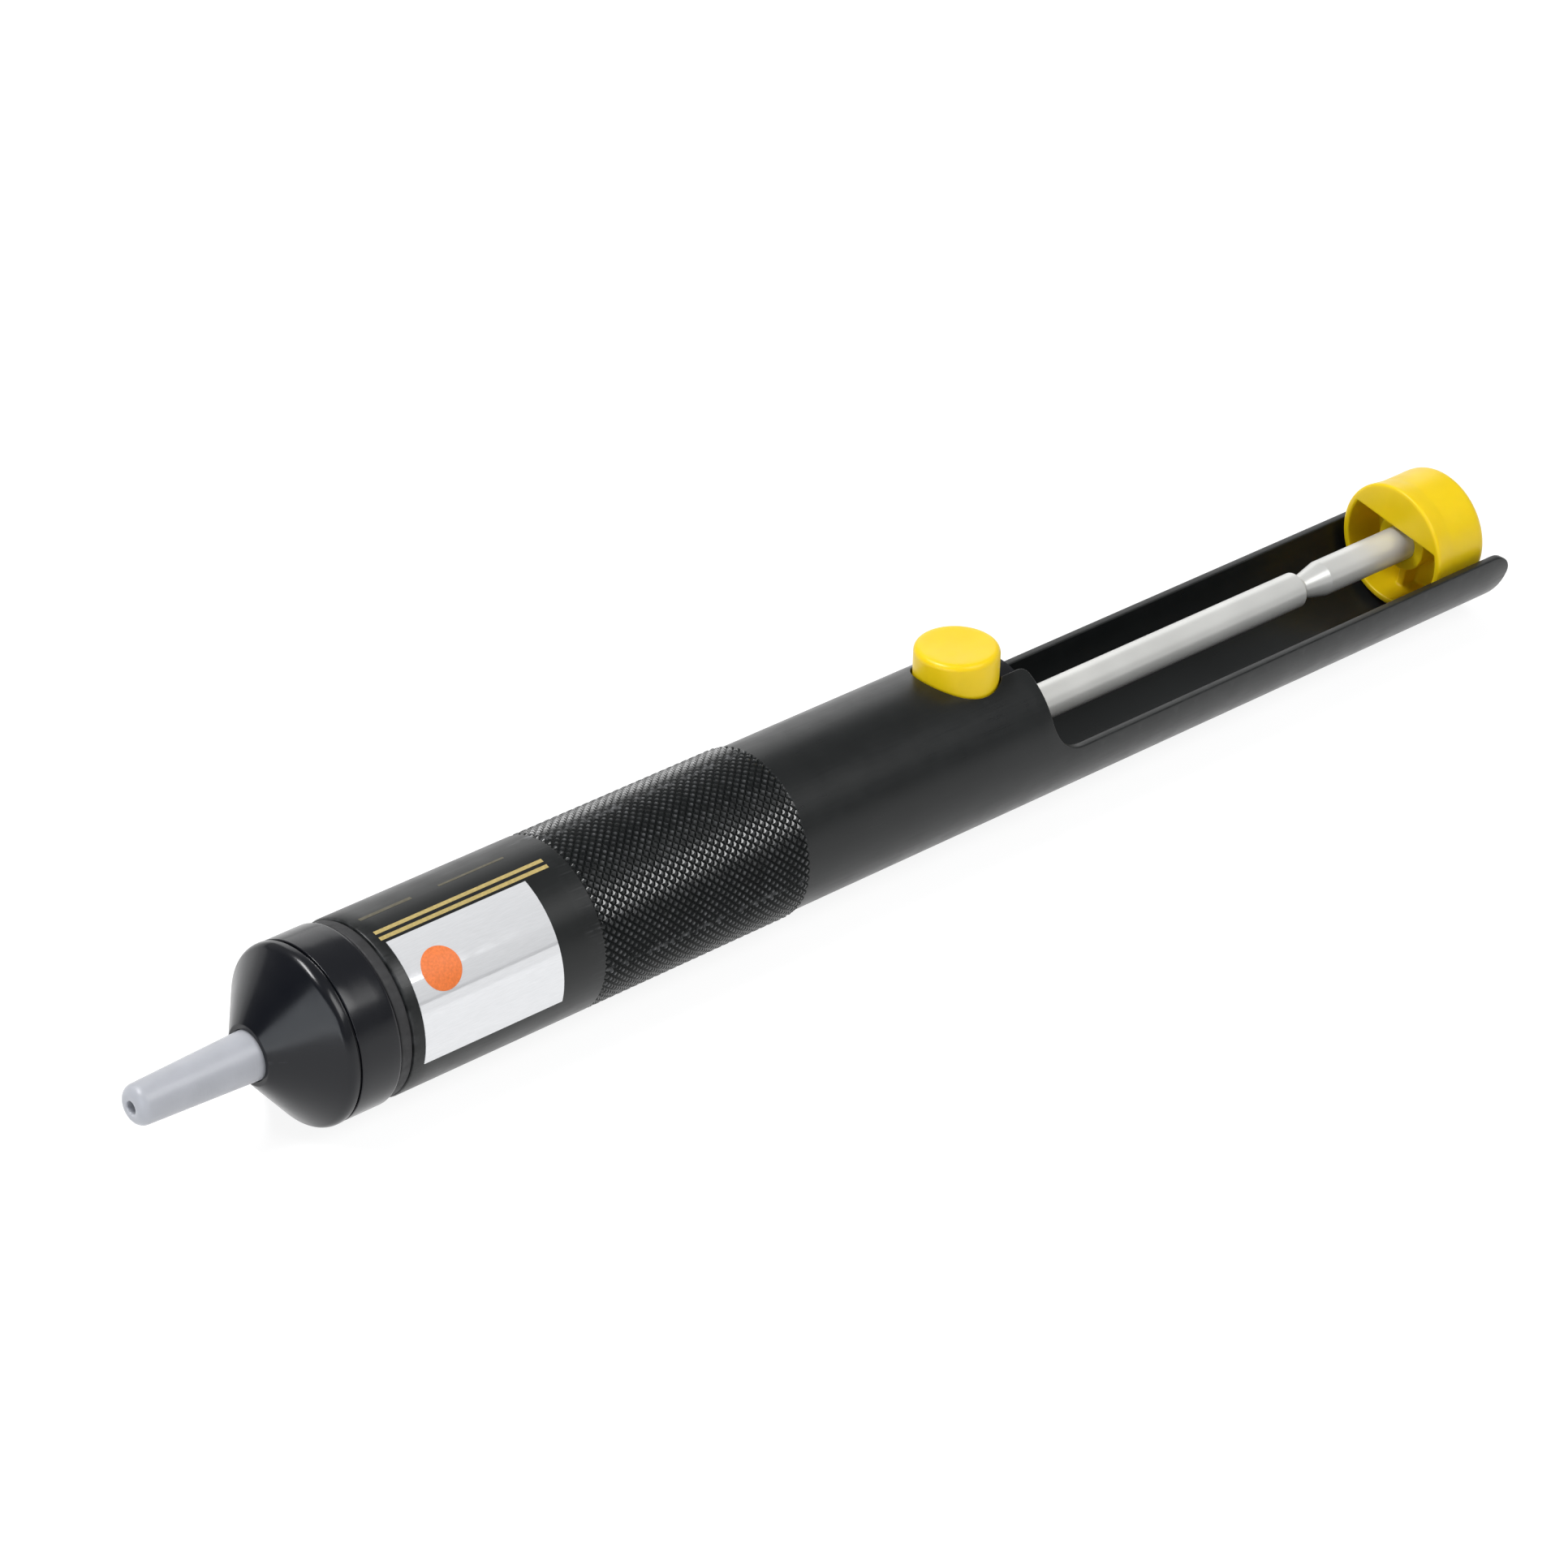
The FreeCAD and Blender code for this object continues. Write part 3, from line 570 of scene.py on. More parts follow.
def edge_path(radius):
    """The rear part's free edge on a cylinder of a radius, as (x, angle) from the seam round.

    It runs from the bottom of the rear end along the trough's -Y edge, round the notch and the
    button hole, back along the +Y edge and across the rear end.
    """
    half = []
    corner_z = TROUGH_Z - END_ROUND
    start_angle, end_angle = SEAM, acos(corner_z / radius)
    rear_steps = 8
    for step in range(rear_steps):
        half.append((TUBE_BACK, start_angle + (end_angle - start_angle) * step / rear_steps))
    for step in range(13):
        turn = pi / 2 * step / 12
        x = TUBE_BACK - END_ROUND + END_ROUND * cos(turn)
        half.append((x, acos((corner_z + END_ROUND * sin(turn)) / radius)))
    straight_end = TROUGH_X + CONCAVE
    count = 36
    for step in range(1, count):
        x = TUBE_BACK - END_ROUND + (straight_end - TUBE_BACK + END_ROUND) * step / count
        half.append((x, acos(TROUGH_Z / radius)))
    for step in range(15):
        turn = pi / 2 * step / 14
        x = straight_end - CONCAVE * sin(turn)
        half.append((x, acos((TROUGH_Z + CONCAVE - CONCAVE * cos(turn)) / radius)))
    face_start = acos((TROUGH_Z + CONCAVE) / radius)
    face_end = asin((NOTCH_Y + NOTCH_ROUND) / radius)
    for step in range(1, 14):
        half.append((TROUGH_X, face_start + (face_end - face_start) * step / 14))
    for step in range(9):
        turn = pi / 2 * step / 8
        y = NOTCH_Y + NOTCH_ROUND - NOTCH_ROUND * sin(turn)
        half.append((TROUGH_X - NOTCH_ROUND + NOTCH_ROUND * cos(turn), asin(y / radius)))
    hole_back = BUTTON_X + sqrt(HOLE_RADIUS ** 2 - NOTCH_Y ** 2)
    for step in range(1, 4):
        x = TROUGH_X - NOTCH_ROUND + (hole_back - TROUGH_X + NOTCH_ROUND) * step / 4
        half.append((x, asin(NOTCH_Y / radius)))
    first = asin(NOTCH_Y / HOLE_RADIUS)
    count = 30
    for step in range(count):
        turn = first + (pi - first) * step / count
        y = HOLE_RADIUS * sin(turn)
        half.append((BUTTON_X + HOLE_RADIUS * cos(turn), asin(y / radius)))
    front = (BUTTON_X - HOLE_RADIUS, 0.0)
    other = [(x, -angle) for x, angle in reversed(half[rear_steps:])]
    far_start, far_end = -acos(corner_z / radius), SEAM - FULL_TURN
    for step in range(1, 17):
        other.append((TUBE_BACK, far_start + (far_end - far_start) * step / 16))
    return half + [front] + other


def screw_path(radius):
    """The screw hole's edge below the barrel, as (x, angle) going round once."""
    path = []
    for step in range(40):
        turn = FULL_TURN * step / 40
        y = SCREW_HOLE * sin(turn)
        path.append((SCREW_X + SCREW_HOLE * cos(turn), -pi + asin(y / radius)))
    return path


def shifted(path, radius, distance, closed):
    """A path moved sideways into the metal by a distance on its cylinder."""
    moved = []
    last = len(path) - 1
    for index, (x, angle) in enumerate(path):
        if closed:
            before, after = path[index - 1], path[(index + 1) % len(path)]
        else:
            before, after = path[max(index - 1, 0)], path[min(index + 1, last)]
        along = Vector((after[0] - before[0], (after[1] - before[1]) * radius)).normalized()
        side = Vector((along.y, -along.x)) * distance
        if not closed and index in (0, last):
            side.y = 0.0
        moved.append((x + side.x, angle + side.y / radius))
    return moved


def rim_levels():
    """The cut edge's section from the outer skin to the bore: (sideways shift, radius) pairs."""
    levels = []
    steps = 4
    for step in range(steps + 1):
        turn = pi / 2 * step / steps
        shift = EDGE_ROUND * (1 - sin(turn))
        levels.append((shift, TUBE_RADIUS - EDGE_ROUND * (1 - cos(turn))))
    for step in range(steps + 1):
        turn = pi / 2 * step / steps
        shift = EDGE_ROUND * (1 - cos(turn))
        levels.append((shift, BORE_RADIUS + EDGE_ROUND * (1 - sin(turn))))
    return levels


def skin(mesh, radius, edge, hole, seam_angles, outward):
    """Fill one cylinder of the rear part between its free edge, the screw hole and the split."""
    flat = [(x, angle * radius) for x, angle in edge]
    seam_stations = [TUBE_BACK - (TUBE_BACK - SPLIT_X) * step / 40 for step in range(1, 41)]
    low_seam = (SEAM - FULL_TURN) * radius
    high_seam = SEAM * radius
    border = flat + [(x, low_seam) for x in seam_stations[:-1]]
    border += [(SPLIT_X, angle * radius) for angle in seam_angles]
    border += [(x, high_seam) for x in reversed(seam_stations[:-1])]
    hole_flat = [(x, angle * radius) for x, angle in hole]
    points = [Vector(p) for p in border + hole_flat]
    edges = [(i, (i + 1) % len(border)) for i in range(len(border))]
    first = len(border)
    edges += [(first + i, first + (i + 1) % len(hole_flat)) for i in range(len(hole_flat))]
    rows, columns = 32, 72
    clearance = 0.45
    for row in range(1, rows):
        x = SPLIT_X + (TUBE_BACK - SPLIT_X) * row / rows
        for column in range(1, columns):
            s = low_seam + (high_seam - low_seam) * column / columns
            if all(hypot(x - p[0], s - p[1]) > clearance for p in border + hole_flat):
                points.append(Vector((x, s)))
    coords, _, faces, _, _, _ = delaunay_2d_cdt(points, edges, [], 2, 1e-6)
    border_path = [Vector(p) for p in border]
    hole_path = [Vector(p) for p in hole_flat]
    vertices = {}
    for index, (x, s) in enumerate(coords):
        vertices[index] = mesh.verts.new(wrap(x, s / radius, radius))
    for face in faces:
        middle = sum((coords[i] for i in face), Vector((0, 0))) / len(face)
        if not inside(middle, border_path) or inside(middle, hole_path):
            continue
        order = face if outward else list(reversed(face))
        mesh.faces.new([vertices[i] for i in order])
    for index, vertex in vertices.items():
        if not vertex.link_faces:
            mesh.verts.remove(vertex)


def inside(point, polygon):
    """Whether a point lies in a polygon, by counting crossings."""
    crossed = False
    x, y = point
    for a, b in zip(polygon, polygon[1:] + polygon[:1]):
        if (a.y > y) != (b.y > y):
            if x < a.x + (y - a.y) / (b.y - a.y) * (b.x - a.x):
                crossed = not crossed
    return crossed


def outer_rows(angles):
    """Rows of (x, radius) along the outer skin, from the front end to the split."""
    rows = [[(x, radius) for _ in angles] for x, radius in front_profile()]
    rows.append([(KNURL_FRONT + KNURL_LEAD, FRONT_RADIUS - KNURL_STEP) for _ in angles])
    count = KNURLS_ALONG * KNURL_STEPS
    for step in range(1, count):
        x = KNURL_FRONT + (KNURL_BACK - KNURL_FRONT) * step / count
        rows.append([(x, knurl_radius(x, angle)) for angle in angles])
    rows.append([(KNURL_BACK, FRONT_RADIUS - KNURL_SLOPE) for _ in angles])
    start, steps = KNURL_BACK + KNURL_SLOPE, 6
    for step in range(steps + 1):
        x = start + (SPLIT_X - start) * step / steps
        rows.append([(x, TUBE_RADIUS) for _ in angles])
    return rows


def bore_rows(angles):
    """Rows of (x, radius) along the bore, from the split back to the front end."""
    rows = []
    front, steps = TUBE_FRONT + BORE_CHAMFER, 8
    for step in range(steps + 1):
        x = SPLIT_X + (front - SPLIT_X) * step / steps
        rows.append([(x, BORE_RADIUS) for _ in angles])
    rows.append([(TUBE_FRONT, BORE_RADIUS + BORE_CHAMFER) for _ in angles])
    return rows


def split_square(mesh, corners, x, angle):
    """Two triangles that meet along the square's own groove, which keeps the diamonds' sides flat."""
    right, left = groove_heights(x, angle)
    turn = 1 if right < left else 0
    a, b, c, d = corners[turn:] + corners[:turn]
    mesh.faces.new((a, b, c))
    mesh.faces.new((a, c, d))


def front_part(mesh, angles):
    """The tube from its front end to the split: outer skin, knurl and bore."""
    outer = outer_rows(angles)
    rows = outer + bore_rows(angles)
    around = len(angles) - 1
    grid = []
    for row in rows:
        ring = [mesh.verts.new(wrap(x, angle, r)) for (x, r), angle in zip(row, angles[:-1])]
        grid.append(ring)
    split_row = len(outer) - 1
    for index, (ring, following) in enumerate(zip(grid, grid[1:] + grid[:1])):
        if index == split_row:
            continue
        middle = (rows[index][0][0] + rows[(index + 1) % len(rows)][0][0]) / 2
        knurled = index < split_row and KNURL_FRONT < middle < KNURL_BACK
        for step in range(around):
            after = (step + 1) % around
            corners = (ring[step], ring[after], following[after], following[step])
            if knurled:
                split_square(mesh, corners, middle, (angles[step] + angles[step + 1]) / 2)
            else:
                mesh.faces.new(corners)


def rear_part(mesh, angles):
    """The cut-away tube behind the split: two skins joined by a rounded rim along every free edge."""
    levels = rim_levels()
    edges, holes = [], []
    for shift, radius in levels:
        edges.append(shifted(edge_path(radius), radius, shift, closed=False))
        holes.append(shifted(screw_path(radius), radius, shift, closed=True))
    skin(mesh, TUBE_RADIUS, edges[0], holes[0], angles, True)
    skin(mesh, BORE_RADIUS, edges[-1], holes[-1], angles, False)
    for paths, closed in ((edges, False), (holes, True)):
        rims = []
        for (_, radius), path in zip(levels, paths):
            rims.append([mesh.verts.new(wrap(x, angle, radius)) for x, angle in path])
        for ring, following in zip(rims, rims[1:]):
            for index in range(len(ring) if closed else len(ring) - 1):
                after = (index + 1) % len(ring)
                mesh.faces.new((ring[index], ring[after], following[after], following[index]))


def barrel():
    mesh = bmesh.new()
    around = KNURLS_ROUND * KNURL_STEPS
    angles = [SEAM - FULL_TURN + FULL_TURN * step / around for step in range(around + 1)]
    front_part(mesh, angles)
    rear_part(mesh, angles)
    return finish_mesh("barrel_tube_skin", mesh, "barrel", "black_aluminium", "barrel_tube", sharp=38)


dress(barrel())


# Print and label --------------------------------------------------------------

LABEL_LIFT, LABEL_THICK = 0.012, 0.085
MARK_LIFT, MARK_THICK = 0.005, 0.012


def patch(mesh, x_range, angle_range, radius, thick, steps=(2, 40)):
    """A thin curved rectangle on the barrel, closed all round."""
    columns, rows = steps
    layers = []
    for reach in (radius, radius + thick):
        layer = []
        for column in range(columns + 1):
            x = x_range[0] + (x_range[1] - x_range[0]) * column / columns
            line = []
            for row in range(rows + 1):
                angle = angle_range[0] + (angle_range[1] - angle_range[0]) * row / rows
                line.append(mesh.verts.new(wrap(x, angle, reach)))
            layer.append(line)
        layers.append(layer)
    low, high = layers
    for column in range(columns):
        for row in range(rows):
            for layer in layers:
                mesh.faces.new((layer[column][row], layer[column + 1][row],
                                layer[column + 1][row + 1], layer[column][row + 1]))
    border = [(c, 0) for c in range(columns)] + [(columns, r) for r in range(rows)]
    border += [(c, rows) for c in range(columns, 0, -1)] + [(0, r) for r in range(rows, 0, -1)]
    for (c, r), (c2, r2) in zip(border, border[1:] + border[:1]):
        mesh.faces.new((low[c][r], low[c2][r2], high[c2][r2], high[c][r]))


def label():
    mesh = bmesh.new()
    from_angle, to_angle = radians(21), radians(104)
    patch(mesh, (LABEL_FRONT, LABEL_BACK), (from_angle, to_angle), FRONT_RADIUS + LABEL_LIFT,
          LABEL_THICK, steps=(8, 72))
    return finish_mesh("label_film_piece", mesh, "barrel", "label_film", "label", sharp=60)


def print_lines(name, material, lines):
    """Printed rules along the barrel: each is (from x, to x, degrees from the top, width)."""
    mesh = bmesh.new()
    for start, end, tilt, width in lines:
        middle = radians(tilt)
        half = width / FRONT_RADIUS / 2
        patch(mesh, (start, end), (middle - half, middle + half), FRONT_RADIUS + 0.004, 0.01,
              steps=(8, 6))
    piece = finish_mesh(name, mesh, "barrel", "label_film", sharp=60)
    return dress(piece, material)


def label_mark(x, tilt, reach):
    """A plain dot printed on the label."""
    mesh = bmesh.new()
    radius = FRONT_RADIUS + LABEL_LIFT + LABEL_THICK + MARK_LIFT
    columns, count = 10, 72
    layers = []
    for level in (0, MARK_THICK):
        rings = []
        for column in range(1, columns + 1):
            ring = []
            for step in range(count):
                turn = FULL_TURN * step / count
                out = reach * column / columns
                angle = radians(tilt) + out * sin(turn) / radius
                ring.append(mesh.verts.new(wrap(x + out * cos(turn), angle, radius + level)))
            rings.append(ring)
        bridge(mesh, rings, closed=False)
        mesh.faces.new(rings[0])
        layers.append(rings[-1])
    bridge(mesh, layers, closed=False)
    piece = finish_mesh("label_mark", mesh, "barrel", "label_film", sharp=60)
    return dress(piece, ORANGE_INK)


dress(label())
print_lines("gold_rules", GOLD_INK, [(30.6, 53.6, 11.8, 0.5), (30.6, 53.6, 17.2, 0.5)])
print_lines("faint_rules", FAINT_INK, [(30.8, 37.8, -4, 0.5), (41.5, 50.5, -4, 0.35)])
label_mark(35.1, 49, 2.5)


# Front end --------------------------------------------------------------------

def nozzle():
    flange = NOZZLE_BACK - 2.0
    bore, tip, neck, rim = 0.75, 2.3, 2.87, 4.4
    section = rounded([
        (0, bore), (0, tip), (CAP_FRONT, neck), (flange, neck), (flange, rim),
        (NOZZLE_BACK, rim), (NOZZLE_BACK, bore),
    ], {0: 0.2, 1: 1.2, 4: 0.2, 5: 0.2}, steps=10)
    return turned("nozzle_tip", section, "barrel", "nozzle_plastic", "nozzle", count=96)


def front_cap():
    cap, collar_end = CAP_FRONT, GASKET_FRONT
    land = cap + 6.75
    groove_end = land + 0.36
    seal_front, seal_back = CAP_BACK - 4.5, CAP_BACK - 3.5
    socket, cavity = cap + 1.9, cap + 6.6
    hole, nose, shoulder, groove, collar = 2.95, 3.5, 10.5, 10.1, 10.45
    seal, cavity_radius, socket_radius = 8.0, 7.4, 4.7
    section = rounded([
        (cap, hole), (cap, nose), (cap + 5.7, shoulder), (land, shoulder), (land, groove),
        (groove_end, groove), (groove_end, collar), (collar_end, collar),
        (collar_end, SPIGOT_RADIUS), (seal_front, SPIGOT_RADIUS), (seal_front, seal),
        (seal_back, seal), (seal_back, SPIGOT_RADIUS), (CAP_BACK, SPIGOT_RADIUS),
        (CAP_BACK, cavity_radius), (cavity, cavity_radius), (cavity, socket_radius),
        (socket, socket_radius), (socket, hole),
    ], {0: 0.08, 1: 0.28, 2: 1.3, 3: 0.12, 4: 0.1, 5: 0.1, 6: 0.12, 7: 0.6, 13: 0.3}, steps=8)
    return turned("front_cap_shell", section, "barrel", "black_plastic", "front_cap", count=160)


def gasket():
    outer = 10.1
    section = rounded([
        (GASKET_FRONT, SPIGOT_RADIUS), (GASKET_FRONT, outer), (TUBE_FRONT, outer),
        (TUBE_FRONT, SPIGOT_RADIUS),
    ], {1: 0.25, 2: 0.25}, steps=5)
    return turned("cap_gasket_ring", section, "barrel", "black_rubber", "cap_gasket", count=128)


def spring_seat():
    boss, flange = SEAT_FRONT + 1.1, SEAT_FRONT + 2.6
    hole, nose, rim, pilot = 1.6, 4.6, 7.3, 5.9
    section = rounded([
        (SEAT_FRONT, hole), (SEAT_FRONT, nose), (boss, nose), (boss, rim), (flange, rim),
        (flange, pilot), (SEAT_BACK, pilot), (SEAT_BACK, hole),
    ], {1: 0.2, 3: 0.2, 4: 0.2, 6: 0.5, 7: 0.3}, steps=4)
    return turned("spring_seat_bush", section, "barrel", "black_plastic", "spring_seat", count=96)


def o_ring(name, node, body, thick, radius):
    low, high = span(node)
    section = ring_section((low + high) / 2, radius, thick)
    return turned(name, section, body, "black_rubber", node, count=96)


dress(nozzle())
dress(front_cap())
dress(gasket())
dress(spring_seat())
dress(o_ring("nozzle_seal", "nozzle_o_ring", "barrel", 0.8, 3.6))
dress(o_ring("cap_seal", "cap_o_ring", "barrel", 0.5, 8.45))


# Spring and piston ------------------------------------------------------------

def main_spring():
    mesh = bmesh.new()
    pilot_length, coil, wire, turns = 2.0, 6.6, 0.5, 12
    start, end = SEAT_BACK - pilot_length, PISTON_FRONT
    tube_along(mesh, spring_path(start, end, coil, wire, turns, "x"), wire)
    piece = finish_mesh("main_spring_coil", mesh, "barrel", "bright_steel", "main_spring")
    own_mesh(piece)
    return piece


def piston():
    groove, groove_end = PISTON_FRONT + 2.8, PISTON_FRONT + 4.8
    hole, outer, groove_radius = 1.56, 8.94, 7.14
    section = rounded([
        (PISTON_FRONT, hole), (PISTON_FRONT, outer), (groove, outer), (groove, groove_radius),
        (groove_end, groove_radius), (groove_end, outer), (PISTON_BACK, outer), (PISTON_BACK, hole),
    ], {0: 0.2, 1: 0.5, 2: 0.12, 5: 0.12, 6: 0.5, 7: 0.2}, steps=5)
    return turned("piston_head", section, "piston_set", "piston_plastic", "piston", count=128)


def washer():
    low, high = span("piston_washer")
    hole, rim = 1.5, 3.5
    section = rounded([(low, hole), (low, rim), (high, rim), (high, hole)], {1: 0.1, 2: 0.1}, steps=3)
    return turned("piston_washer_ring", section, "plunger", "bright_steel", "piston_washer", count=72)


def lock_nut():
    """A hexagon whose corners are turned off at both faces."""
    low, high = span("lock_nut")
    flats = 2.75

    def hexagon(limit):
        def reach(angle):
            return min(flats / cos((angle + pi / 6) % (pi / 3) - pi / 6), limit)
        return reach

    section = [(low, 1.5), (low, hexagon(2.72)), (low + 0.15, hexagon(2.98)),
               (low + 0.27, hexagon(3.17)), (high - 0.27, hexagon(3.17)),
               (high - 0.15, hexagon(2.98)), (high, hexagon(2.72)), (high, 1.5)]
    return turned("lock_nut_hex", section, "plunger", "brass_nut", "lock_nut", count=144, sharp=25)


dress(main_spring())
dress(piston())
dress(o_ring("piston_seal", "piston_o_ring", "piston_set", 0.9, 8.06))
dress(washer())
dress(lock_nut())


# Plunger ----------------------------------------------------------------------

NECK_X, NECK_RADIUS = 173.8, 1.4
PIN_DEPTH = 5.0
THREAD_RADIUS = 1.5


def plunger_rod():
    """The rod, with a thread under the piston, a V neck for the latch and a hole for the pin."""
    shoulder, pin_end = PISTON_BACK + 0.05, ROD_FRONT + PIN_DEPTH
    neck_front, neck_back = NECK_X - 0.9, NECK_X + 3.6
    section = rounded([
        (ROD_FRONT, PIN_RADIUS), (ROD_FRONT, THREAD_RADIUS), (shoulder, THREAD_RADIUS),
        (shoulder, ROD_RADIUS), (neck_front, ROD_RADIUS), (NECK_X, NECK_RADIUS),
        (neck_back, ROD_RADIUS), (ROD_BACK, ROD_RADIUS), (ROD_BACK, 0), (pin_end, 0),
        (pin_end, PIN_RADIUS),
    ], {1: 0.12, 3: 0.1, 4: 0.12, 5: 0.1, 6: 0.25, 7: 0.3}, steps=5)
    return turned("plunger_rod_bar", section, "plunger", "bright_steel", "plunger_rod", count=96)


def cleaning_pin():
    back = ROD_FRONT + PIN_DEPTH
    section = rounded([
        (PIN_FRONT, 0), (PIN_FRONT, PIN_RADIUS), (back, PIN_RADIUS), (back, 0),
    ], {1: 0.35}, steps=6)
    return turned("cleaning_wire", section, "plunger", "bright_steel", "cleaning_pin", count=48)


dress(plunger_rod())
dress(cleaning_pin())

KNOB_TURN = radians(9.3)
KNOB_VOXEL = 0.11


def solid(section, count, closed=True):
    mesh = bmesh.new()
    lathe(mesh, section, count, closed=closed)
    bmesh.ops.recalc_face_normals(mesh, faces=mesh.faces)
    return mesh


def block(low, high):
    mesh = bmesh.new()
    middle = [(a + b) / 2 for a, b in zip(low, high)]
    size = [b - a for a, b in zip(low, high)]
    placed = Matrix.Translation(middle) @ Matrix.Diagonal((*size, 1))
    bmesh.ops.create_cube(mesh, size=1, matrix=placed)
    return mesh


def disc_segment(start, end, radius, low, steps=60):
    """A slab between two stations: the part of a disc above a level."""
    first = asin(low / radius)
    outline = []
    for step in range(steps + 1):
        angle = first + (pi - 2 * first) * step / steps
        outline.append((radius * cos(angle), radius * sin(angle)))
    mesh = bmesh.new()
    ends = [[mesh.verts.new((x, y, z)) for y, z in outline] for x in (start, end)]
    bridge(mesh, ends, closed=False)
    for ring in ends:
        mesh.faces.new(ring)
    bmesh.ops.recalc_face_normals(mesh, faces=mesh.faces)
    return mesh


def scratch_object(name, mesh):
    data = bpy.data.meshes.new(name)
    mesh.to_mesh(data)
    mesh.free()
    return add_object(name, data)


def baked_mesh(thing):
    """The mesh of an object with its modifiers applied; the object is then removed."""
    graph = bpy.context.evaluated_depsgraph_get()
    result = bpy.data.meshes.new_from_object(thing.evaluated_get(graph))
    bpy.data.objects.remove(thing)
    return result


def thumb_knob():
    """A thin-walled cup with a hub, a web across it and a rib, all blended like a moulding."""
    front, back = KNOB_FRONT, KNOB_BACK
    floor = front + 5.8
    overlap = floor + 0.5
    hollow, lip, outer, hub_radius, web_radius, web_low = 7.15, 8.05, 7.75, 3.6, 7.45, 2.9
    cup = rounded([
        (front, hollow), (front, lip), (front + 0.4, lip), (front + 2.8, outer), (back, outer),
        (back, 0), (floor, 0), (floor, hollow),
    ], {0: 0.2, 1: 0.35, 3: 4.0, 4: 1.2, 7: 0.3}, steps=6)
    parts = [solid(cup, 160)]
    hub_front = front + 1.8
    hub = [(hub_front, ROD_RADIUS), (hub_front, hub_radius), (overlap, hub_radius),
           (overlap, ROD_RADIUS)]
    parts.append(solid(hub, 96))
    parts.append(disc_segment(front, overlap, web_radius, web_low))
    parts.append(block((front + 3.5, -0.5, -7.35), (overlap, 0.5, -3.0)))
    whole = scratch_object("knob_parts", parts[0])
    for extra in parts[1:]:
        tool = scratch_object("knob_tool", extra)
        union = whole.modifiers.new("union", "BOOLEAN")
        union.operation = "UNION"
        union.object = tool
        union.solver = "EXACT"
        data = baked_mesh(whole)
        whole = add_object("knob_parts", data)
        bpy.data.objects.remove(tool)
    remesh = whole.modifiers.new("remesh", "REMESH")
    remesh.mode = "VOXEL"
    remesh.voxel_size = KNOB_VOXEL
    soften = whole.modifiers.new("soften", "SMOOTH")
    soften.factor = 0.5
    soften.iterations = 5
    data = baked_mesh(whole)
    mesh = bmesh.new()
    mesh.from_mesh(data)
    turn = Matrix.Rotation(KNOB_TURN, 4, "X")
    bmesh.ops.transform(mesh, matrix=turn, verts=mesh.verts)
    return finish_mesh("thumb_knob_cup", mesh, "plunger", "yellow_plastic", "thumb_knob", sharp=60)


dress(thumb_knob())


# Rod guide, latch and button --------------------------------------------------

def bumper():
    hole, outer = 2.6, 8.6
    section = rounded([
        (BUMPER_FRONT, hole), (BUMPER_FRONT, outer), (BUMPER_BACK, outer), (BUMPER_BACK, hole),
    ], {0: 0.3, 1: 0.4, 2: 0.3, 3: 0.2}, steps=4)
    return turned("bumper_ring", section, "barrel", "black_rubber", "rubber_bumper", count=96)


def release_button():
    """A round button with a soft rim, a slightly dished top and a slot for the latch's tab."""
    mesh = bmesh.new()
    dish, dish_radius, outer, steps = 0.12, 3.9, 5.0, 12
    section = [(BUTTON_TOP - dish, 0)]
    for step in range(1, steps + 1):
        reach = dish_radius * step / steps
        section.append((BUTTON_TOP - dish * (1 - (reach / dish_radius) ** 2), reach))
    rim = rounded([
        (BUTTON_TOP, dish_radius), (BUTTON_TOP, outer), (BUTTON_BOTTOM, outer), (BUTTON_BOTTOM, 0),
    ], {1: 0.75, 2: 0.15}, steps=8)
    section += rim[1:]
    lathe(mesh, section, 128, axis="z", centre=(BUTTON_X, 0, 0), closed=False)
    whole = scratch_object("button_blank", mesh)
    tab_half, tab_rise = 2.6, 2.5
    slot = block((PLATE_FRONT, -tab_half, BUTTON_BOTTOM - 1),
                 (PLATE_BACK, tab_half, BUTTON_BOTTOM + tab_rise))
    tab = scratch_object("button_tool", slot)
    cut = whole.modifiers.new("cut", "BOOLEAN")
    cut.operation = "DIFFERENCE"
    cut.object = tab
    cut.solver = "EXACT"
    data = baked_mesh(whole)
    bpy.data.objects.remove(tab)
    mesh = bmesh.new()
    mesh.from_mesh(data)
    return finish_mesh("release_button_cap", mesh, "release", "yellow_plastic", "release_button")


def latch_spring():
    mesh = bmesh.new()
    low, high = span("latch_spring", 2)[0], span("latch_plate", 2)[0]
    coil, wire, turns = 1.3, 0.175, 3
    tube_along(mesh, spring_path(low, high, coil, wire, turns, "z"), wire, sides=10)
    bmesh.ops.translate(mesh, vec=(BUTTON_X, 0, 0), verts=mesh.verts)
    piece = finish_mesh("latch_spring_coil", mesh, "barrel", "bright_steel", "latch_spring")
    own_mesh(piece)
    return piece


dress(bumper())
dress(release_button())
dress(latch_spring())

SLOTS = {part["node"]: part["material_slot"] for part in frame["record"]["subparts"]}
for node_name, node in frame["nodes"].items():
    if not node.hide_render:
        inner = SLOTS[node_name] == "black_plastic"
        node.data.materials.clear()
        node.data.materials.append(INNER_PLASTIC if inner else MATERIALS[SLOTS[node_name]])


# Floor, light and camera ------------------------------------------------------

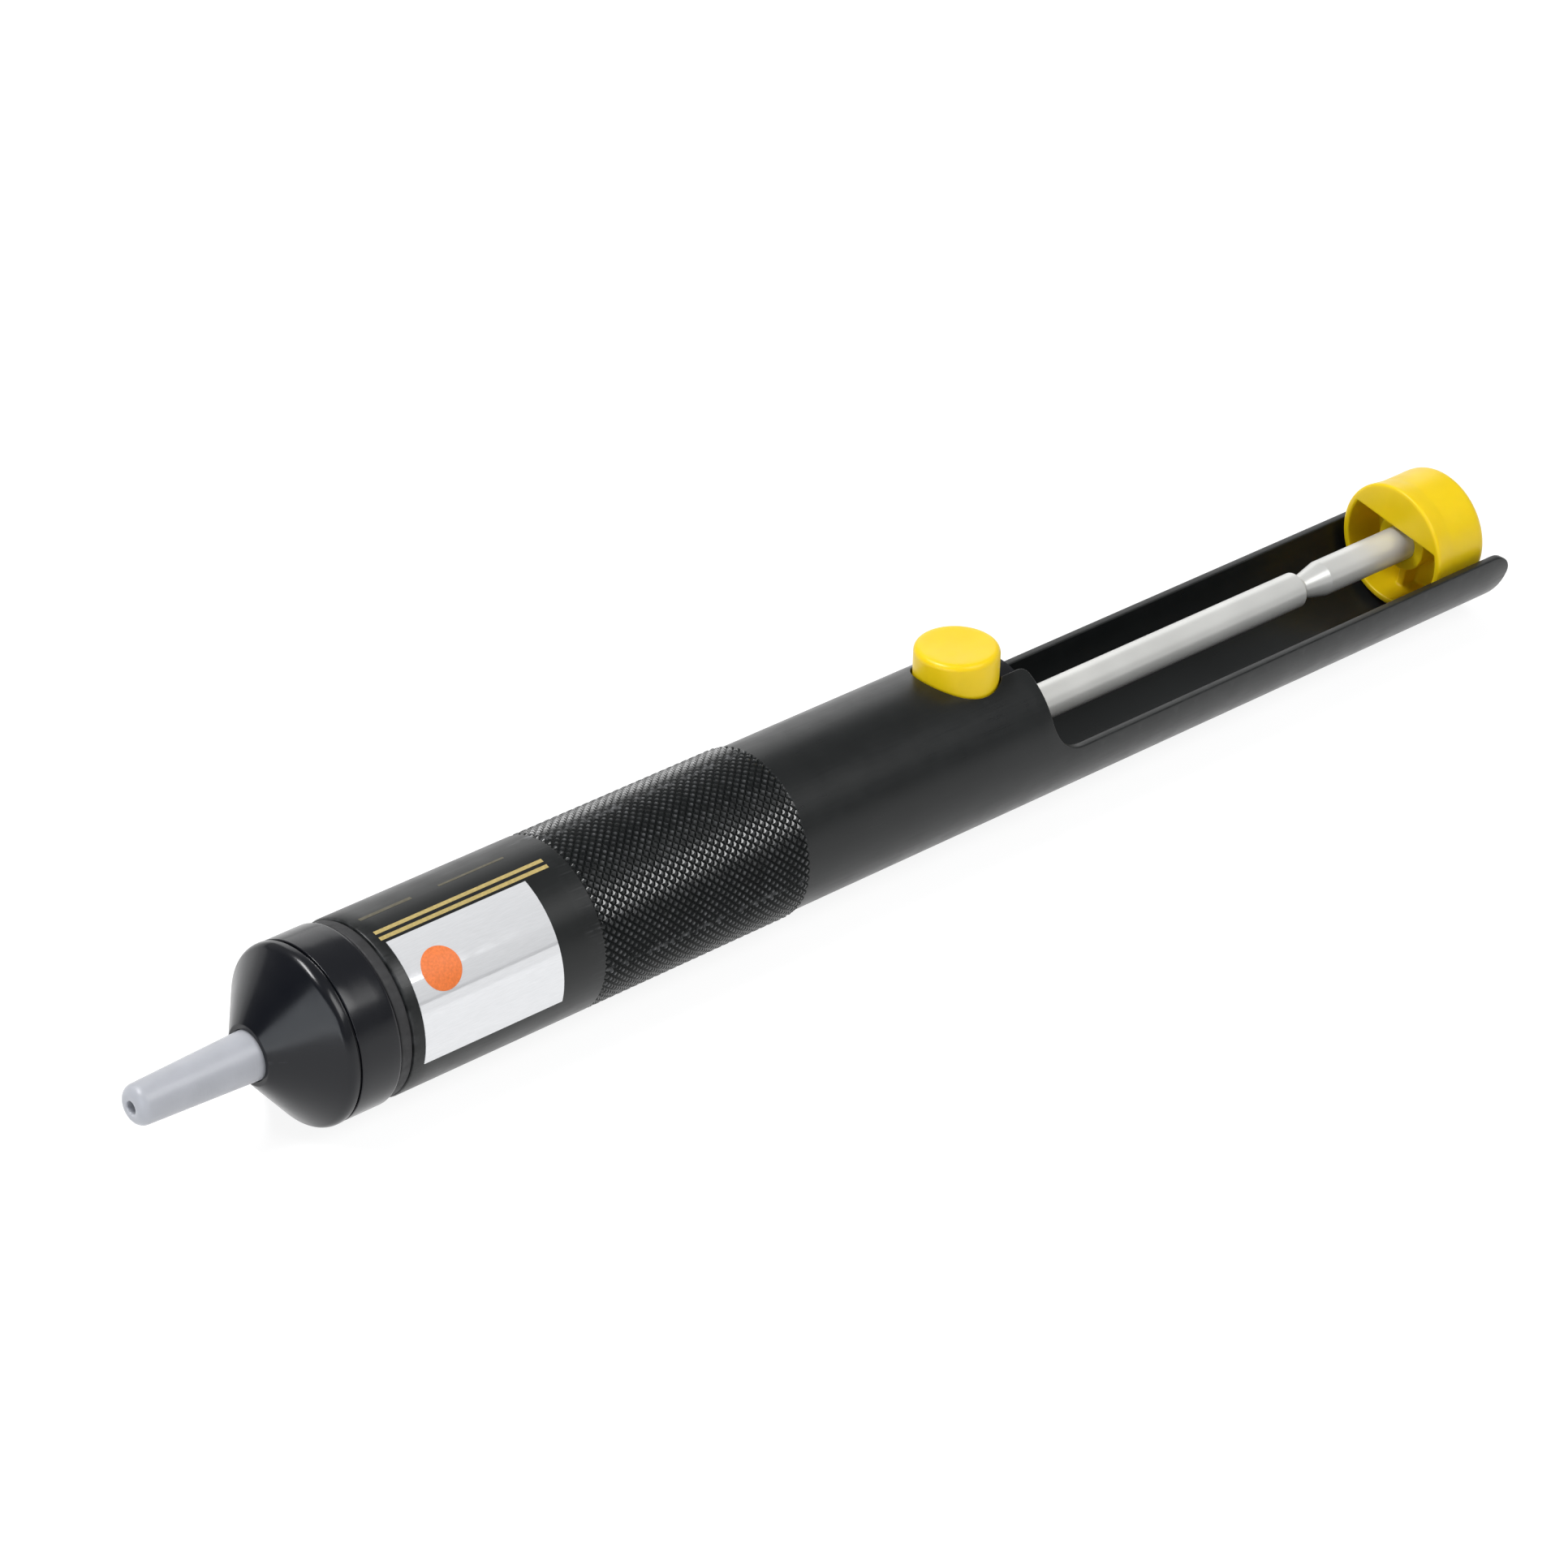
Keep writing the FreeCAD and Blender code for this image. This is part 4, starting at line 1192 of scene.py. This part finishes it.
def paper_floor():
    """A sheet of studio paper under the pump."""
    data = bpy.data.meshes.new("studio_floor")
    half = 6.0
    level = -(FRONT_RADIUS + 0.25) * MM
    corners = [(-half, -half, level), (half, -half, level), (half, half, level), (-half, half, level)]
    data.from_pydata(corners, [], [(0, 1, 2, 3)])
    add_object("studio_floor", data)
    m = Material("studio_paper", (0.2, 0.2, 0.2), 0.9, Specular_IOR_Level=0.0,
                 Emission_Strength=0.88)
    m.shader.inputs["Emission Color"].default_value = (1, 1, 1, 1)
    m.paint(m.mix(m.ranged(m.noise(30.0, 3.0), 0.0, 1.0), (0.19, 0.19, 0.19), (0.21, 0.21, 0.21)))
    data.materials.append(m.material)


def soft_light(name, place, target, size, power, color=(1, 1, 1)):
    lamp = bpy.data.lights.new(name, "AREA")
    lamp.shape = "RECTANGLE"
    lamp.size, lamp.size_y = size
    lamp.energy = power
    lamp.color = color
    holder = add_object(name, lamp)
    holder.location = place
    direction = Vector(target) - Vector(place)
    holder.rotation_euler = direction.to_track_quat("-Z", "Y").to_euler()


def studio_world():
    """A white sweep low down, a dark gap above it, and a dim room over that, darker towards -X."""
    world = bpy.data.worlds.new("studio")
    world.use_nodes = True
    nodes, links = world.node_tree.nodes, world.node_tree.links
    direction = nodes.new("ShaderNodeTexCoord").outputs["Generated"]
    split = nodes.new("ShaderNodeSeparateXYZ")
    ramp = nodes.new("ShaderNodeValToRGB")
    links.new(direction, split.inputs["Vector"])
    links.new(split.outputs["Z"], ramp.inputs["Fac"])
    stops = ramp.color_ramp.elements
    levels = ((0.0, 0.85), (0.15, 0.85), (0.16, 0.03), (0.205, 0.03), (0.22, 0.36), (1.0, 0.32))
    while len(stops) < len(levels):
        stops.new(1.0)
    for stop, (height, level) in zip(stops, levels):
        stop.position = height
        stop.color = (level, level, level, 1)
    shaded = nodes.new("ShaderNodeMapRange")
    for socket, value in (("From Min", -0.8), ("From Max", -0.2), ("To Min", 0.08)):
        shaded.inputs[socket].default_value = value
    links.new(split.outputs["X"], shaded.inputs["Value"])
    low_down = nodes.new("ShaderNodeMath")
    low_down.operation = "LESS_THAN"
    low_down.inputs[1].default_value = 0.18
    links.new(split.outputs["Z"], low_down.inputs[0])
    share = nodes.new("ShaderNodeMath")
    share.operation = "MAXIMUM"
    links.new(shaded.outputs["Result"], share.inputs[0])
    links.new(low_down.outputs[0], share.inputs[1])
    level = nodes.new("ShaderNodeMath")
    level.operation = "MULTIPLY"
    links.new(ramp.outputs["Color"], level.inputs[0])
    links.new(share.outputs[0], level.inputs[1])
    links.new(level.outputs[0], nodes["Background"].inputs["Color"])
    bpy.context.scene.world = world


def fitted_camera():
    """The viewpoint: in front of the nozzle's left side and above it."""
    azimuth, elevation, roll = radians(-42.56), radians(31.46), radians(1.80)
    distance = 0.670
    target = Vector((0.0916, 0.0011, 0.0035))
    back = Vector((sin(azimuth) * cos(elevation), -cos(azimuth) * cos(elevation), sin(elevation)))
    camera_data = bpy.data.cameras.new("camera")
    camera_data.lens = 136.8
    camera_data.sensor_width = 36.0
    camera_data.clip_start = 0.01
    camera = add_object("camera", camera_data)
    level_turn = (-back).to_track_quat("-Z", "Y").to_matrix().to_4x4()
    tilt = Matrix.Rotation(roll, 4, "Z")
    camera.matrix_world = Matrix.Translation(target + back * distance) @ level_turn @ tilt
    bpy.context.scene.camera = camera


paper_floor()
studio_world()
soft_light("key", (-0.22, 0.22, 0.82), (0.07, 0, 0), (0.48, 0.18), 7.2)
soft_light("fill", (0.30, -0.62, 0.76), (0.09, 0, 0), (0.5, 0.5), 4.2)
soft_light("front_left", (-0.83, -0.30, 0.29), (0.07, 0, 0), (0.9, 0.5), 3.8, (0.90, 0.95, 1.0))
soft_light("back_right", (0.73, 0.80, 0.42), (0.1, 0, 0), (0.7, 0.6), 1.6)
fitted_camera()
bpy.context.scene.view_settings.view_transform = "Standard"
